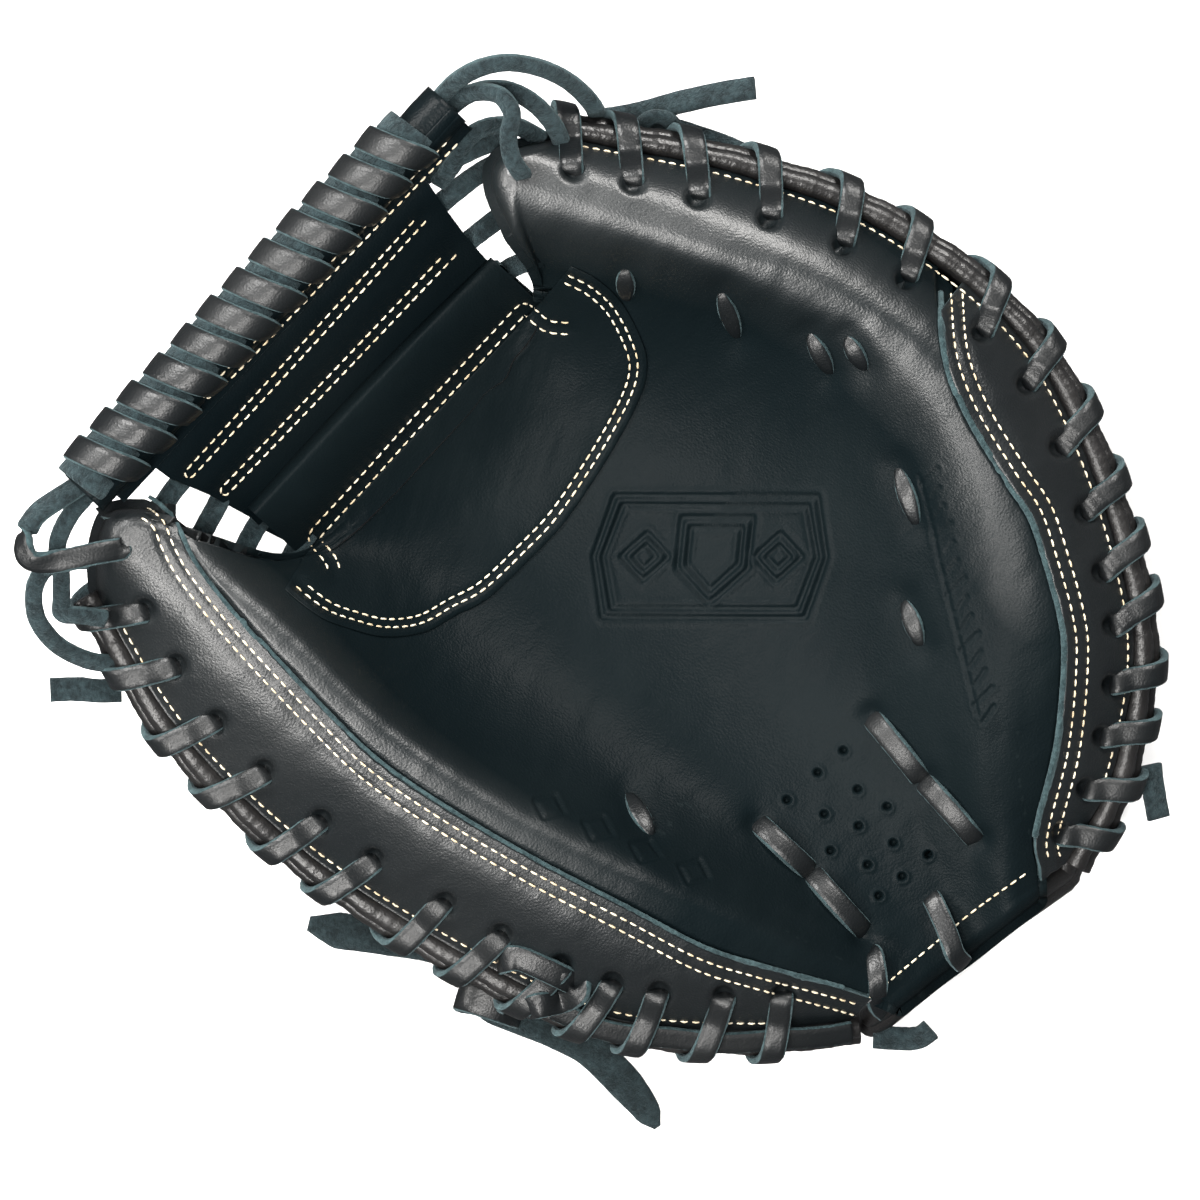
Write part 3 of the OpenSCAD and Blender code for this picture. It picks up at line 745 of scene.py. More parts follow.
class Stitches:
    """Collects the stitches of a seam into one mesh. Sizes are in millimetres."""

    SIDES = 6
    RINGS = 6
    LENGTH = 2.4
    GAP = 0.66
    RADIUS = 0.29
    RISE = 0.12

    def __init__(self):
        self.points, self.faces, self.count = [], [], 0

    def add(self, surface, line):
        points, normals = surface.at(resample(line, step=0.35))
        points = running_mean(points, 2)
        lengths = np.concatenate([[0], np.cumsum(np.linalg.norm(np.diff(points, axis=0), axis=1))])
        pitch = self.LENGTH + self.GAP
        for number in range(int(lengths[-1] / pitch)):
            start = number * pitch + chance.uniform(-0.12, 0.12)
            t = start + np.linspace(0, self.LENGTH, self.RINGS)
            centre = np.stack([np.interp(t, lengths, points[:, k]) for k in range(3)], axis=1)
            up = np.stack([np.interp(t, lengths, normals[:, k]) for k in range(3)], axis=1)
            arch = np.sin(np.linspace(0, math.pi, self.RINGS))
            size = self.RADIUS * (0.45 + 0.55 * arch**0.5) * chance.uniform(0.9, 1.1)
            centre += up * (self.RISE - 0.45 * (1 - arch**0.6))[:, None]
            grid = sweep_points(centre, up, circle(self.SIDES)[None] * size[:, None, None])
            self.points.append(grid.reshape(-1, 3))
            self.faces += tube_faces(self.RINGS, self.SIDES, self.count)
            self.count += self.RINGS * self.SIDES
        return self

    def double(self, surface, line, apart=3.1, closed_end=False):
        """Two rows side by side. With closed_end, one row that goes round the end of the line and back."""
        left, right = offset_line(line, apart / 2), offset_line(line, -apart / 2)
        if closed_end:
            tip = line[-1:] + (line[-1:] - line[-3:-2]) / np.linalg.norm(line[-1] - line[-3]) * apart * 0.35
            return self.add(surface, np.concatenate([left, tip, right[::-1]]))
        return self.add(surface, left).add(surface, right)

    def build(self, name):
        return make_piece(name, np.concatenate(self.points), self.faces, ["thread"])


# ---------------------------------------------------------------- rims

class Rim:
    """One rim of the mitt. side is -1 on the thumb and 1 on the fingers."""

    def __init__(self, side, first_u, last_u):
        self.side = side
        us = np.linspace(first_u, last_u, 400)
        self.line = front(us, np.full_like(us, V_RIM * side))
        steps = np.linalg.norm(np.diff(self.line, axis=0), axis=1)
        self.along = np.concatenate([[0], np.cumsum(steps)])
        self.length = self.along[-1]
        ahead = np.gradient(self.line, axis=0)
        self.ahead = ahead / np.linalg.norm(ahead, axis=1)[:, None]
        out = np.cross(self.ahead, [0, 0, side])
        out[:, 2] = 0
        self.out = out / np.linalg.norm(out, axis=1)[:, None]

    def frame(self, s):
        """Point, direction along and direction outwards at a length along the rim."""
        def pick(values):
            return np.stack([np.interp(s, self.along, values[:, k]) for k in range(3)], axis=-1)

        return pick(self.line), pick(self.ahead), pick(self.out)


# Where the loops of the rim lace cross the rims.
FINGER_LOOPS = [(38, -140), (52, -137), (66, -130), (79, -122), (92, -111), (103, -100), (114, -86),
                (121, -68), (127, -48), (129, -28), (125, -3), (121, 17), (112, 37), (102, 55), (94, 71),
                (86, 86)]
THUMB_LOOPS = [(-50, -119), (-61, -105), (-74, -92), (-82, -80), (-87, -64), (-95, -47), (-97, -29),
               (-99, -6), (-101, 12), (-102, 33), (-101, 52), (-99, 72), (-95, 89)]


def loop_places(rim, loops):
    """Lengths along the rim of the holes of a row of loops."""
    gaps = np.linalg.norm(rim.line[None, :, :2] - np.array(loops, float)[:, None], axis=2)
    return rim.along[gaps.argmin(1)] + 2.0


# ---------------------------------------------------------------- relief of the palm

def emblem_lines():
    """Pressed outlines in the pocket: a home plate between pairs of diamonds, in a long six-sided frame."""
    middle, run, rise = np.array([29.5, -14.5]), np.array([0.679, -0.734]), np.array([0.72, 0.694])

    def at(points):
        return np.array([middle + run * (x + 0.12 * y) + rise * y for x, y in points])

    lines = []
    for g in (0, 2.4):
        lines.append(at([(-26 - g, 14 + g), (24 + g, 14 + g), (28 + g, 0), (24 + g, -14 - g),
                         (-26 - g, -14 - g), (-30 - g, 0), (-26 - g, 14 + g)]))
    for g in (0, 2.6):
        lines.append(at([(-7 - g, 8 + g), (7 + g, 8 + g), (7 + g, -2 - g / 2), (0, -9 - 1.4 * g),
                         (-7 - g, -2 - g / 2), (-7 - g, 8 + g)]))
    for x in (-18.5, 17.5):
        for r in (3.2, 6.4):
            lines.append(at([(x - r, 0), (x, r), (x + r, 0), (x, -r), (x - r, 0)]))
    return [resample(line, step=0.4) for line in lines]


def side_mark_lines():
    """A pressed row of diamonds on the thumb roll and a pressed braid on the finger wall."""
    lines = []
    for k in range(4):
        centre = np.array([-50, -28]) + np.array([4.6, -13.5]) * k
        a, b = np.array([1.4, -4.2]), np.array([-3.4, -1.1])
        lines.append(resample([centre + a, centre + b, centre - a, centre - b, centre + a], step=0.4))
    start, run, swing = np.array([85.5, -42]), np.array([-2.75, -4.25]), np.array([0.84, -0.55])
    for k in range(14):
        centre = start + run * k
        reach = 2.4 if k % 3 else 3.6
        ends = [centre - swing * reach + run * 0.5, centre + swing * reach * 0.6 - run * 0.2]
        lines.append(resample(ends, step=0.4))
    lines.append(resample([start - swing * 3.4, start + run * 13 - swing * 3.4], step=0.4))
    return lines


PALM_LACES = [
    [(27, -75), (25, -86), (24, -97), (23, -108), (22, -119)],
    [(-15, -72), (-15, -82), (-15, -92), (-16, -103), (-17, -114)],
]
# Folds that fan out where the leather gathers towards the heel.
HEEL_FOLDS = [[(-22, -122), (-30, -92)], [(-12, -124), (-20, -98)], [(14, -124), (34, -96)],
              [(22, -126), (46, -104)], [(-4, -124), (-6, -104)], [(6, -124), (14, -104)]]
PAD_TIES = [
    [(70, 56), (64, 50)], [(83, 33), (77, 21)], [(91, 8), (87, -4)], [(97, 0), (94, -10)],
    [(81, -34), (73, -49)], [(56, -60), (50, -72)], [(-33, -41), (-37, -54)],
]


def hole_dents(places, holes):
    """The hollow and the raised brim that a lace presses round each hole."""
    lift = np.zeros(len(places))
    for place in holes:
        d2 = (places[:, 0] - place[0]) ** 2 + (places[:, 1] - place[1]) ** 2
        lift += 0.5 * np.exp(-d2 / 30) - 0.8 * np.exp(-d2 / 110) - 3.4 * np.exp(-((d2 / 7.5) ** 1.4))
    return lift


def palm_relief(places, holes):
    """Height added to the outer face of the palm leather, in mm along its normal."""
    lift = waves(places, 46, 3) * 0.35 + waves(places, 17, 5) * 0.12
    lift -= 0.5 * hump(distance_to(places, smooth_line(POCKET_SEAM), 8), 2.2)
    for line in emblem_lines():
        d = distance_to(places, line, 4)
        lift += 0.35 * hump(d - 1.4, 0.7) - 0.75 * hump(d, 0.6)
    for line in side_mark_lines():
        d = distance_to(places, line, 4)
        lift += 0.1 * hump(d - 1.2, 0.6) - 0.4 * hump(d, 0.55)
    for x, y in AIR_HOLES:
        d = np.hypot(places[:, 0] - x, places[:, 1] - y)
        lift += 0.28 * hump(d - 1.7, 0.6) - 2.6 * np.exp(-(d / 0.95) ** 4)
    for lace in PALM_LACES:
        d = distance_to(places, smooth_line(lace), 14)
        lift -= 0.9 * hump(d, 6.0)
        for x, y in lace[::2]:
            lift -= 1.5 * np.exp(-((places[:, 0] - x) ** 2 + (places[:, 1] - y) ** 2) / 9)
    for tie in PAD_TIES:
        d = distance_to(places, resample(tie, step=0.5), 14)
        lift -= 1.3 * hump(d, 4.5)
    for fold in HEEL_FOLDS:
        lift -= 0.35 * hump(distance_to(places, resample(fold, step=1), 12), 3.5)
    return lift + hole_dents(places, holes)


# ---------------------------------------------------------------- pieces of the front

# How far inwards of the rim the drawn turn of the rim lace starts, and the usual distance between two turns.
LACE_REACH = 8.6
LACE_PITCH = 20.0


def loop_reach(rim, stations):
    """How far inwards of the rim each hole is. The finger side is steeper, and its loops are shorter."""
    if rim.side < 0:
        return np.full(len(stations), LACE_REACH)
    return np.interp(stations / rim.length, [0, 0.08, 0.5, 0.75], [4.4, 4.6, 5.4, 8.4])


def hole_points(rim, stations):
    point, _, out = rim.frame(stations)
    return point - out * loop_reach(rim, stations)[:, None]


def level_step(edge, inner):
    """Level directions of length 1 from one row of points to another."""
    ahead = edge - inner
    ahead[:, 2] = 0
    return ahead / np.linalg.norm(ahead, axis=1)[:, None]


def rolled_rows(edge, inner, radius, steep, degrees):
    """Rows that round over an edge of the outer face and turn down."""
    ahead, down = level_step(edge, inner), np.array([0, 0, -1]) * steep
    return [edge + (ahead * math.sin(a) + down * (1 - math.cos(a))) * radius[:, None]
            for a in np.radians(degrees)]


def with_rolled_tip(grid, v):
    """Rows added to a grid of the outer face, so that both tips round over and turn down."""
    out = np.abs(v)
    radius = 0.6 + 2.6 * np.clip((out - 0.95) / 0.35, 0, 1) + 3.3 * np.clip((out - 1.9) / 0.5, 0, 1)
    radius = radius * (1 - 0.6 * np.clip((out - 3.45) / 0.55, 0, 1) ** 2)
    return np.concatenate([grid, rolled_rows(grid[-1], grid[-3], radius, 1.25, np.linspace(0, 115, 12)[1:])])


def with_rolled_heel(grid, v):
    """Rows added before a grid of the outer face, so that the leather rolls over the edge of the heel."""
    radius = 0.8 + 3.8 * np.clip((3.75 - np.abs(v)) / 0.35, 0, 1)
    return np.concatenate([rolled_rows(grid[0], grid[3], radius, 1.35, np.linspace(125, 0, 12)[:-1]), grid])


# How far the palm leather sinks where it runs on under a side panel.
TUCK = 1.6


def build_palm(finger_seam, thumb_seam, holes):
    """The palm leather, from under one side panel to under the other, with its rolled tips and heel."""
    nu, nv = 460, 460
    u = np.linspace(0, U_WEB, nu)[:, None] * np.ones((1, nv))
    low = thumb_seam(u[:, 0]) - 0.12
    high = np.minimum(np.maximum(finger_seam(u[:, 0]) + 0.1, finger_seam(u[:, 0] + 0.12)), V_RIM)
    v = low[:, None] + (high - low)[:, None] * np.linspace(0, 1, nv)[None]
    u = np.where(u > 4, 4 + (u - 4) * 0.94, u)  # leaves room for the rolled tips
    grid = front(u, v)
    lift = palm_relief(grid.reshape(-1, 3), holes)
    under_thumb = np.clip((thumb_seam(u) + 0.1 - v) / 0.14, 0, 1)
    under_finger = np.where(finger_seam(u) < 3.97, np.clip((v - finger_seam(u) + 0.06) / 0.12, 0, 1), 0)
    tuck = TUCK * under_thumb + TUCK * under_finger
    grid = grid + normals_of(grid) * (lift.reshape(nu, nv) - tuck)[..., None]
    grid = with_rolled_heel(with_rolled_tip(grid, v[-1]), v[0])
    under = grid - normals_of(grid) * PALM_LEATHER
    palm = shell("palm_leather", grid, under, "palm_leather")
    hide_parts("palm_shell")
    return palm


def build_gusset(name, node, seam, side, u_range, holes, samples):
    """A side panel, from the rim to its seam, lying on the palm leather with a raw edge."""
    nu, nv = samples
    u = np.linspace(*u_range, nu)[:, None] * np.ones((1, nv))
    edge = seam(u[:, 0])
    v = V_RIM * side + (edge - V_RIM * side)[:, None] * np.linspace(0, 1, nv)[None]
    grid = front(u, v)
    normal = normals_of(grid)
    flat = grid.reshape(-1, 3)
    lift = waves(flat, 40, 11) * 0.3 + waves(flat, 13, 12) * 0.1
    d = distance_to(flat, front(u[:, 0], edge), 14)
    lift += 0.9 - 0.45 * hump(d - 3.05, 1.2) - 0.45 * hump(d - 6.15, 1.2)
    lift += hole_dents(flat, holes)
    grid = grid + normal * lift.reshape(nu, nv)[..., None]
    if u_range[1] > 5.5:
        grid = with_rolled_tip(grid, v[-1])
        normal = normals_of(grid)
    piece = shell(name, grid, grid - normal * SIDE_LEATHER, "side_leather")
    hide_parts(node)
    return piece


def build_raw_edge(name, line, inward, width, surface):
    """The cut suede edge of a side panel, seen as a thin strip along its seam."""
    points, normals = surface.at(offset_line(line, inward))
    laces = Laces()
    path = running_mean(points, 4) + normals * 0.1
    laces.add(path, normals + [0, 0, 1.0], width, thickness=1.8, roughen=0.09)
    laces.build(name, slot="side_leather", materials=("raw_edge",) * 3)


def build_welt(name, node, rim, stations, out, drop, radius):
    """A rolled leather edging along a rim, pinched under each loop of the rim lace."""
    s = np.linspace(0, rim.length, 420)
    point, _, outward = rim.frame(s)
    pinch = sum(hump(s - station, 4.0) for station in stations)
    ripple = 0.1 * np.sin(s * 0.9) + 0.08 * np.sin(s * 2.3 + 1)
    size = radius * (1 - 0.1 * pinch) + ripple * 0.6
    path = point + outward * (out - 0.25 * pinch)[:, None]
    path[:, 2] -= drop + 0.3 * pinch
    sides = 14
    grid = sweep_points(path, outward, circle(sides, 1.0, 1.04)[None] * size[:, None, None])
    piece = make_piece(name, grid.reshape(-1, 3), tube_faces(len(s), sides), ["binding_leather"])
    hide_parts(node)


# One turn of the rim lace, from its hole over the welts and back under to the hole before: how far
# outwards, above the rim, and towards the heel of the hole, with the direction that its grain side faces.
LACE_TURN = [
    (-9.0, -6.0, 0.0, (-1, 0.1)), (-9.0, -1.6, 0.0, (-0.95, 0.4)), (-7.7, 1.9, 0.4, (-0.5, 1)),
    (-4.5, 2.7, 1.2, (-0.15, 1)), (-1.0, 2.9, 2.2, (-0.05, 1)), (2.6, 2.9, 3.3, (0.1, 1)),
    (5.8, 1.8, 4.4, (0.5, 1)), (7.9, -1.0, 5.6, (1, 0.35)), (8.5, -4.6, 6.9, (1, 0)),
    (8.0, -8.6, 8.4, (1, -0.3)), (5.8, -12.0, 10.2, (0.6, -1)), (2.0, -13.9, 12.2, (0.1, -1)),
    (-2.4, -14.6, 14.4, (-0.1, -1)), (-6.0, -13.0, 16.6, (-0.6, -0.6)),
]


def build_rim_lace(name, node, rim, stations, surface, raised):
    """The rim lace: a flat strip that comes out of each hole, crosses the welts and returns behind them.
    The first raised loops also cross the strap's lace."""
    laces = Laces()
    reaches = loop_reach(rim, stations)
    t = np.linspace(0, len(LACE_TURN) - 1, 46)
    face = spline(np.array([row[3] for row in LACE_TURN]), t)
    for number, station in enumerate(stations):
        before = stations[number + 1] if number + 1 < len(stations) else station + 18
        stretch = (before - station) / LACE_PITCH
        turn = spline(np.array([row[:3] for row in LACE_TURN]), t)
        lean = chance.uniform(-0.7, 0.7)
        along = turn[:, 2] * np.where(turn[:, 2] > 9, stretch, 1.0) + lean * turn[:, 0] / 8
        point, _, out = rim.frame(station + along)
        reach = reaches[number]
        turn[:, 0] *= np.where((turn[:, 0] < 0) & (turn[:, 1] > -7), reach / LACE_REACH, 1)
        path = point + out * turn[:, :1]
        hole = point[0] - out[0] * reach
        height = surface.at([hole[:2]])[0][0][2] - point[0][2]
        inner = np.clip(-turn[:, 0] / (reach + 0.2), 0, 1) * (turn[:, 1] > -5)
        path[:, 2] += turn[:, 1] * (1 + chance.uniform(-0.03, 0.06)) + inner**1.4 * max(0.0, height + 1.2)
        if number < raised:
            path[:, 2] += 1.7 * np.clip((turn[:, 1] + 2) / 4, 0, 1)
        over = np.flatnonzero((turn[:, 0] < -1) & (turn[:, 0] > 0.4 - reach) & (turn[:, 1] > 0.5))
        leather_top = surface.at(path[over])[0][:, 2] + LACE_T / 2 + 0.2
        path[over, 2] = np.maximum(path[over, 2], leather_top)
        relax(path, 3)
        laces.add(path, out * face[:, :1] + np.array([0, 0, 1.0]) * face[:, 1:])
    piece = laces.build(name)
    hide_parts(node)


# ---------------------------------------------------------------- web

WEB_LINE = np.array([(60, 46), (70, 52), (78, 59), (87, 68), (97, 79), (107, 90), (114, 96)], float)


def web_height(x, y):
    """Height of the top of the web panel at a place seen from above."""
    rise = np.interp(y, *smooth_line(WEB_LINE, 0.5).T)
    share = np.clip((y - 60) / 54, 0, 1)
    cup = 5 * ((x + 2) / 49) ** 2 * (1 - 0.75 * share)
    return rise + cup


def web_edges(y):
    """The panel's two side edges."""
    left = np.interp(y, [65, 79, 84, 96, 107, 116], [-44, -48, -48, -51, -55, -56])
    right = np.interp(y, [63, 67, 81, 83, 93, 104, 116], [46, 48, 48, 46, 47, 49, 52])
    return left, right


WEB_ROWS = [[(64, 112.8), (30, 113.4), (-21, 114.2), (-32, 115)], [(43, 105), (10, 104.6), (-51, 104)],
            [(42, 93), (0, 93.4), (-48, 94)]]
ROLL_SEAM = [(48, 56), (44.6, 60.5), (44, 64), (44, 67.6), (43.2, 68.8), (40, 69), (20, 69), (0, 69),
             (-20, 68.6), (-37, 68.5), (-40, 68.2), (-41, 67), (-41.4, 63), (-42, 60), (-44, 56.5)]


def build_web_panel():
    """The panel of the web, and the leather behind it."""
    rows, columns = 110, 170
    y = np.linspace(66, 115.5, rows)
    left, right = web_edges(y)
    x = left[:, None] + (right - left)[:, None] * np.linspace(0, 1, columns)[None]
    y = y[:, None] * np.ones((1, columns))
    flat = np.stack([x.ravel(), y.ravel()], axis=1)
    lift = waves(flat, 30, 21) * 0.3
    for row in WEB_ROWS:
        d = distance_to(flat, smooth_line(row), 12)
        lift += 0.35 * hump(d - 5, 2.6) - 0.4 * hump(d, 1.9)
    z = web_height(x, y) + lift.reshape(rows, columns)
    grid = np.stack([x, y, z], axis=2)
    normal = normals_of(grid)
    panel = shell("web_panel_leather", grid, grid - normal * WEB_LEATHER, "web_leather")
    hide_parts("web_panel")
    inset = (slice(3, -8), slice(4, -4))
    under = grid[inset] - normal[inset] * (WEB_LEATHER + 0.4)
    backing = shell("web_backing_leather", under, under - normal[inset] * WEB_LEATHER, "back_leather")
    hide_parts("web_backing")
    return panel


def build_web_flange():
    """The strip of the bar's leather that comes down from the roll and is sewn to the top of the panel."""
    profile = [(119.2, 106.4), (117.6, 105.9), (116.0, 104.5), (114.8, 102.2), (113.8, 100.0), (112.6, 98.4),
               (111.4, 97.4)]
    top = np.array([[(-68 + 137 * k, y, z + 0.25 * math.sin(k * 23)) for k in np.linspace(0, 1, 160)]
                    for y, z in spline(np.array(profile), np.linspace(0, 6, 26))])
    return shell("web_bar_flange", top, lowered(top, 2.2), "web_leather")


ROLL_PROFILE = [(65.6, -0.6), (67.4, 0.5), (69.2, 1.9), (71, 4.0), (73.7, 6.2), (77, 7.6), (80.5, 7.9),
                (83.4, 6.8), (85.2, 4.4), (85.6, 2.2), (84.6, 0.9)]


def build_web_roll():
    """The upper part of the patch: a puffed roll across the foot of the web."""
    columns = 150
    profile = spline(np.array(ROLL_PROFILE, float), np.linspace(0, len(ROLL_PROFILE) - 1, 48))
    grid = np.zeros((len(profile), columns, 3))
    x, t = np.linspace(-46.5, 47.5, columns), np.linspace(-1, 1, columns)
    puff = 1 - 0.25 * np.abs(t) ** 6
    for i, (y, h) in enumerate(profile):
        sag = -1.2 * np.cos(t * math.pi / 2) * (y > 70) + (y - 64) * 0.05 * (x / 48)
        grid[i] = np.stack([x, y - sag, web_height(x, np.minimum(y - sag, 84)) + h * puff], axis=1)
    flat = grid[..., :2].reshape(-1, 2)
    lift = waves(flat, 26, 31) * 0.35 + waves(flat, 9, 32) * 0.12
    lift -= 0.5 * hump(distance_to(flat, smooth_line(ROLL_SEAM), 8), 1.8)
    grid[..., 2] += lift.reshape(len(profile), columns)
    roll = shell("web_patch_roll", grid, lowered(grid, 2.0), "palm_leather")
    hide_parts("web_pocket_patch")
    return roll


def build_web_tongue(surface):
    """The lower part of the patch: a round tongue sewn into the pocket."""
    outline = smooth_line(POCKET_SEAM)
    widened = offset_line(outline, 3.6)
    count, rows = 150, 90
    bottom = resample(widened, count=count)
    top = resample([(49, 66.5), (0, 67), (-46, 66.5)], count=count)
    s = np.linspace(0, 1, rows)[:, None, None]
    places = (bottom[None] * (1 - s) + top[None] * s).reshape(-1, 2)
    ground, _ = surface.at(places)
    web = web_height(places[:, 0], np.maximum(places[:, 1], 60))
    share = np.clip((places[:, 1] - 55) / 10, 0, 1)
    share = share * share * (3 - 2 * share)
    edge = np.minimum(distance_to(places, widened, 6), 6)
    lift = 0.5 + 0.9 * np.clip(edge / 1.2, 0, 1) + waves(places, 30, 41) * 0.4 * np.clip(edge / 6, 0, 1)
    lift -= 0.45 * hump(distance_to(places, outline, 6), 1.5)
    lift -= 0.5 * hump(distance_to(places, smooth_line(ROLL_SEAM), 6), 1.7)
    z = (ground[:, 2] * (1 - share) + np.maximum(web, ground[:, 2]) * share).reshape(rows, count)
    relax(z, 30)
    z = np.maximum(z.ravel(), ground[:, 2] - 0.3) + lift
    grid = np.concatenate([places, z[:, None]], axis=1).reshape(rows, count, 3)
    return shell("web_patch_tongue", grid, lowered(grid, 1.2), "palm_leather")


def build_bar():
    """The rolled leather bar, open at both ends, with the overlap of its roll along one side."""
    lengths = np.linspace(-BAR_L / 2, BAR_L / 2, 90)
    angle = np.linspace(0, 2 * math.pi, 48, endpoint=False)
    points = []
    for depth, order in ((0.0, 1), (BAR_WALL, -1)):
        for x in lengths[::order]:  # along the outside, and back along the inside
            wrinkle = 0.08 * np.sin(x * 0.5 + 3 * np.sin(angle)) + 0.04 * np.sin(x * 1.1 + 2 * angle)
            step = 0.7 * np.exp(-((angle - 2.2) % (2 * math.pi)) * 1.4)
            r = BAR_R - 0.5 + step + wrinkle * (depth == 0) - depth
            points.append(np.stack([np.full_like(angle, BAR[0] + x), BAR[1] + r * np.cos(angle),
                                    BAR[2] + r * np.sin(angle)], axis=1))
    rings, sides = len(points), len(angle)
    ring, place = np.arange(rings)[:, None], np.arange(sides)[None]
    after, beside = (ring + 1) % rings, (place + 1) % sides
    corners = ((ring, place), (ring, beside), (after, beside), (after, place))
    faces = np.stack([(r * sides + k).ravel() for r, k in corners], axis=1)
    marks = np.zeros((rings, sides), int)
    marks[[rings // 2 - 1, rings - 1]] = 1
    bar = make_piece("web_bar_roll", np.concatenate(points), faces, ["web_leather", "raw_edge"],
                     marks.ravel())
    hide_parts("web_bar")


WRAP_TURNS = 12
WRAP_FIRST = 48.5
WRAP_PITCH = -10.4


def build_bar_wrap():
    """The lace wound on the bar, grain side out on each turn."""
    laces = Laces()
    for k in range(WRAP_TURNS):
        x = WRAP_FIRST + WRAP_PITCH * k + chance.uniform(-0.35, 0.35)
        angle = np.radians(np.linspace(-75, 196, 64))
        y_reach = 8.7 + chance.uniform(-0.3, 0.3) + 1.5 * np.cos(angle)
        path = np.stack([x + 3.2 - 3.8 * np.cos(angle), BAR[1] - 0.2 + y_reach * np.cos(angle),
                         BAR[2] + 9.4 * np.sin(angle) - 0.6 * np.clip(-np.cos(angle), 0, 1) ** 2], axis=1)
        out = np.stack([0 * angle - 0.1, np.cos(angle), np.sin(angle) + 0.12], axis=1)
        taper = np.interp(np.linspace(0, 1, 64), [0, 0.3, 0.72, 1], [1, 1, 0.96, 0.62])
        laces.add(path, out, width=7.8, thickness=2.3, taper=taper, roughen=0.03)
    piece = laces.build("web_bar_wrap_lace")
    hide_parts("web_bar_wrap")


def build_bar_under_wrap():
    """The suede strand of the winding, seen between its turns."""
    laces = Laces()
    for k in range(WRAP_TURNS + 1):
        x = WRAP_FIRST + WRAP_PITCH * (k - 0.5) + chance.uniform(-0.3, 0.3)
        angle = np.radians(np.linspace(-60, 190, 40))
        y_reach = np.where(np.cos(angle) > 0, 8.9, 5.4)
        path = np.stack([x + 1.8 - 0.8 * np.cos(angle), BAR[1] + y_reach * np.cos(angle),
                         BAR[2] + 8.1 * np.sin(angle)], axis=1)
        out = np.stack([0 * angle, np.cos(angle), np.sin(angle)], axis=1)
        laces.add(path, out, width=6.2, thickness=1.6)
    laces.build("web_bar_wrap_under", slot="lace_suede", materials=SUEDE)


# ---------------------------------------------------------------- loose laces

def lace_along(laces, route, facing, width=LACE_W, thickness=LACE_T, taper=None, samples=40, over=None):
    """A lace on a smooth route. facing is the direction of its grain side, or one for each route point.
    over is a surface that the later part of the lace lies on."""
    route = np.asarray(route, float)
    t = np.linspace(0, len(route) - 1, samples)
    path = spline(route, t)
    facing = np.asarray(facing, float)
    facing = spline(facing, t) if facing.ndim == 2 else np.repeat(facing[None], samples, axis=0)
    tapers = None if taper is None else np.interp(np.linspace(0, 1, samples), *np.array(taper).T)
    if over is not None:
        span = slice(int(samples * 0.4), int(samples * 0.93))
        path[span, 2] = np.maximum(path[span, 2], over.at(path[span])[0][:, 2] + thickness / 2)
        relax(path, 4)
    laces.add(path, facing, width, thickness, tapers)


STRAP_TAIL_UPPER = [(-98, -37, 31), (-102, -28, 32), (-108, -18, 33), (-114, -9, 33), (-118, -2, 33)]
STRAP_TAIL_LOWER = [(-98, -46, 29), (-101, -53, 29), (-98, -61, 28), (-94, -70, 27), (-91, -80, 26),
                    (-91, -90, 24), (-92, -100, 22), (-94, -109, 20)]
RIM_TAIL = [(94.5, 88.5, 66), (99, 84.8, 65), (105.4, 80.4, 65), (112.9, 75.8, 67), (121, 70.2, 70),
            (129.5, 63.6, 72)]
RIM_LACE_END = [(101, 81, 60), (105, 75, 60), (109.5, 66, 60), (113.5, 56.5, 60), (115.5, 49, 59)]
RIM_LACE_KNOT = [(97, 74, 60), (98.6, 77, 66), (101.4, 79, 70), (105, 78.4, 71), (107.2, 75, 70),
                 (106.4, 71, 66), (103, 68, 60)]
RIM_LACE_HEEL_END = [(69, -139.5, 37), (66, -143, 36), (63, -147, 35), (60, -151, 34)]
THUMB_LACE_END = [(-106, 78, 60), (-110, 82, 61), (-114, 87, 61), (-119, 92, 61)]
HEEL_LACE_END = [(-24, -145, 31), (-28, -144, 30), (-32, -140, 29), (-36, -135, 28)]


STRAP_LACE_W = 10
UPPER_TAPER = [(0, 0.6), (0.4, 0.9), (0.75, 1), (1, 0.4)]
LOWER_TAPER = [(0, 0.7), (0.15, 0.8), (0.5, 1), (0.8, 0.95), (0.94, 0.7), (1, 0.2)]
NO_TAPER = [(0, 1), (1, 1)]
# Name, node, route, width, taper, facing and body. The heel's end follows no body.
TAILS = [
    ("strap_lace_tail_upper", "strap_tail_upper", STRAP_TAIL_UPPER, STRAP_LACE_W, UPPER_TAPER, (0, 0, 1),
     "thumb_side"),
    ("strap_lace_tail_lower", "strap_tail_lower", STRAP_TAIL_LOWER, STRAP_LACE_W, LOWER_TAPER, (0, 0, 1),
     "thumb_side"),
    ("rim_lace_tail", "rim_tail", RIM_TAIL, LACE_W, NO_TAPER, (0.3, 0.3, 1), "finger_side"),
    ("rim_lace_end_web", "rim_lace_end", RIM_LACE_END, LACE_W, NO_TAPER, (0.5, 0.2, 1), "finger_side"),
    ("rim_lace_knot_turn", "rim_lace_knot", RIM_LACE_KNOT, 4.8, NO_TAPER, (-0.6, -0.6, 0.5), "finger_side"),
    ("rim_lace_end_heel", "rim_lace_heel_end", RIM_LACE_HEEL_END, LACE_W, NO_TAPER, (0.2, -0.5, 1),
     "finger_side"),
    ("thumb_lace_end_web", "thumb_lace_end", THUMB_LACE_END, LACE_W, NO_TAPER, (-0.3, 0.2, 1), "thumb_side"),
    ("heel_lace_end_short", "heel_lace_end", HEEL_LACE_END, LACE_W, NO_TAPER, (0, -0.5, 1), None),
]


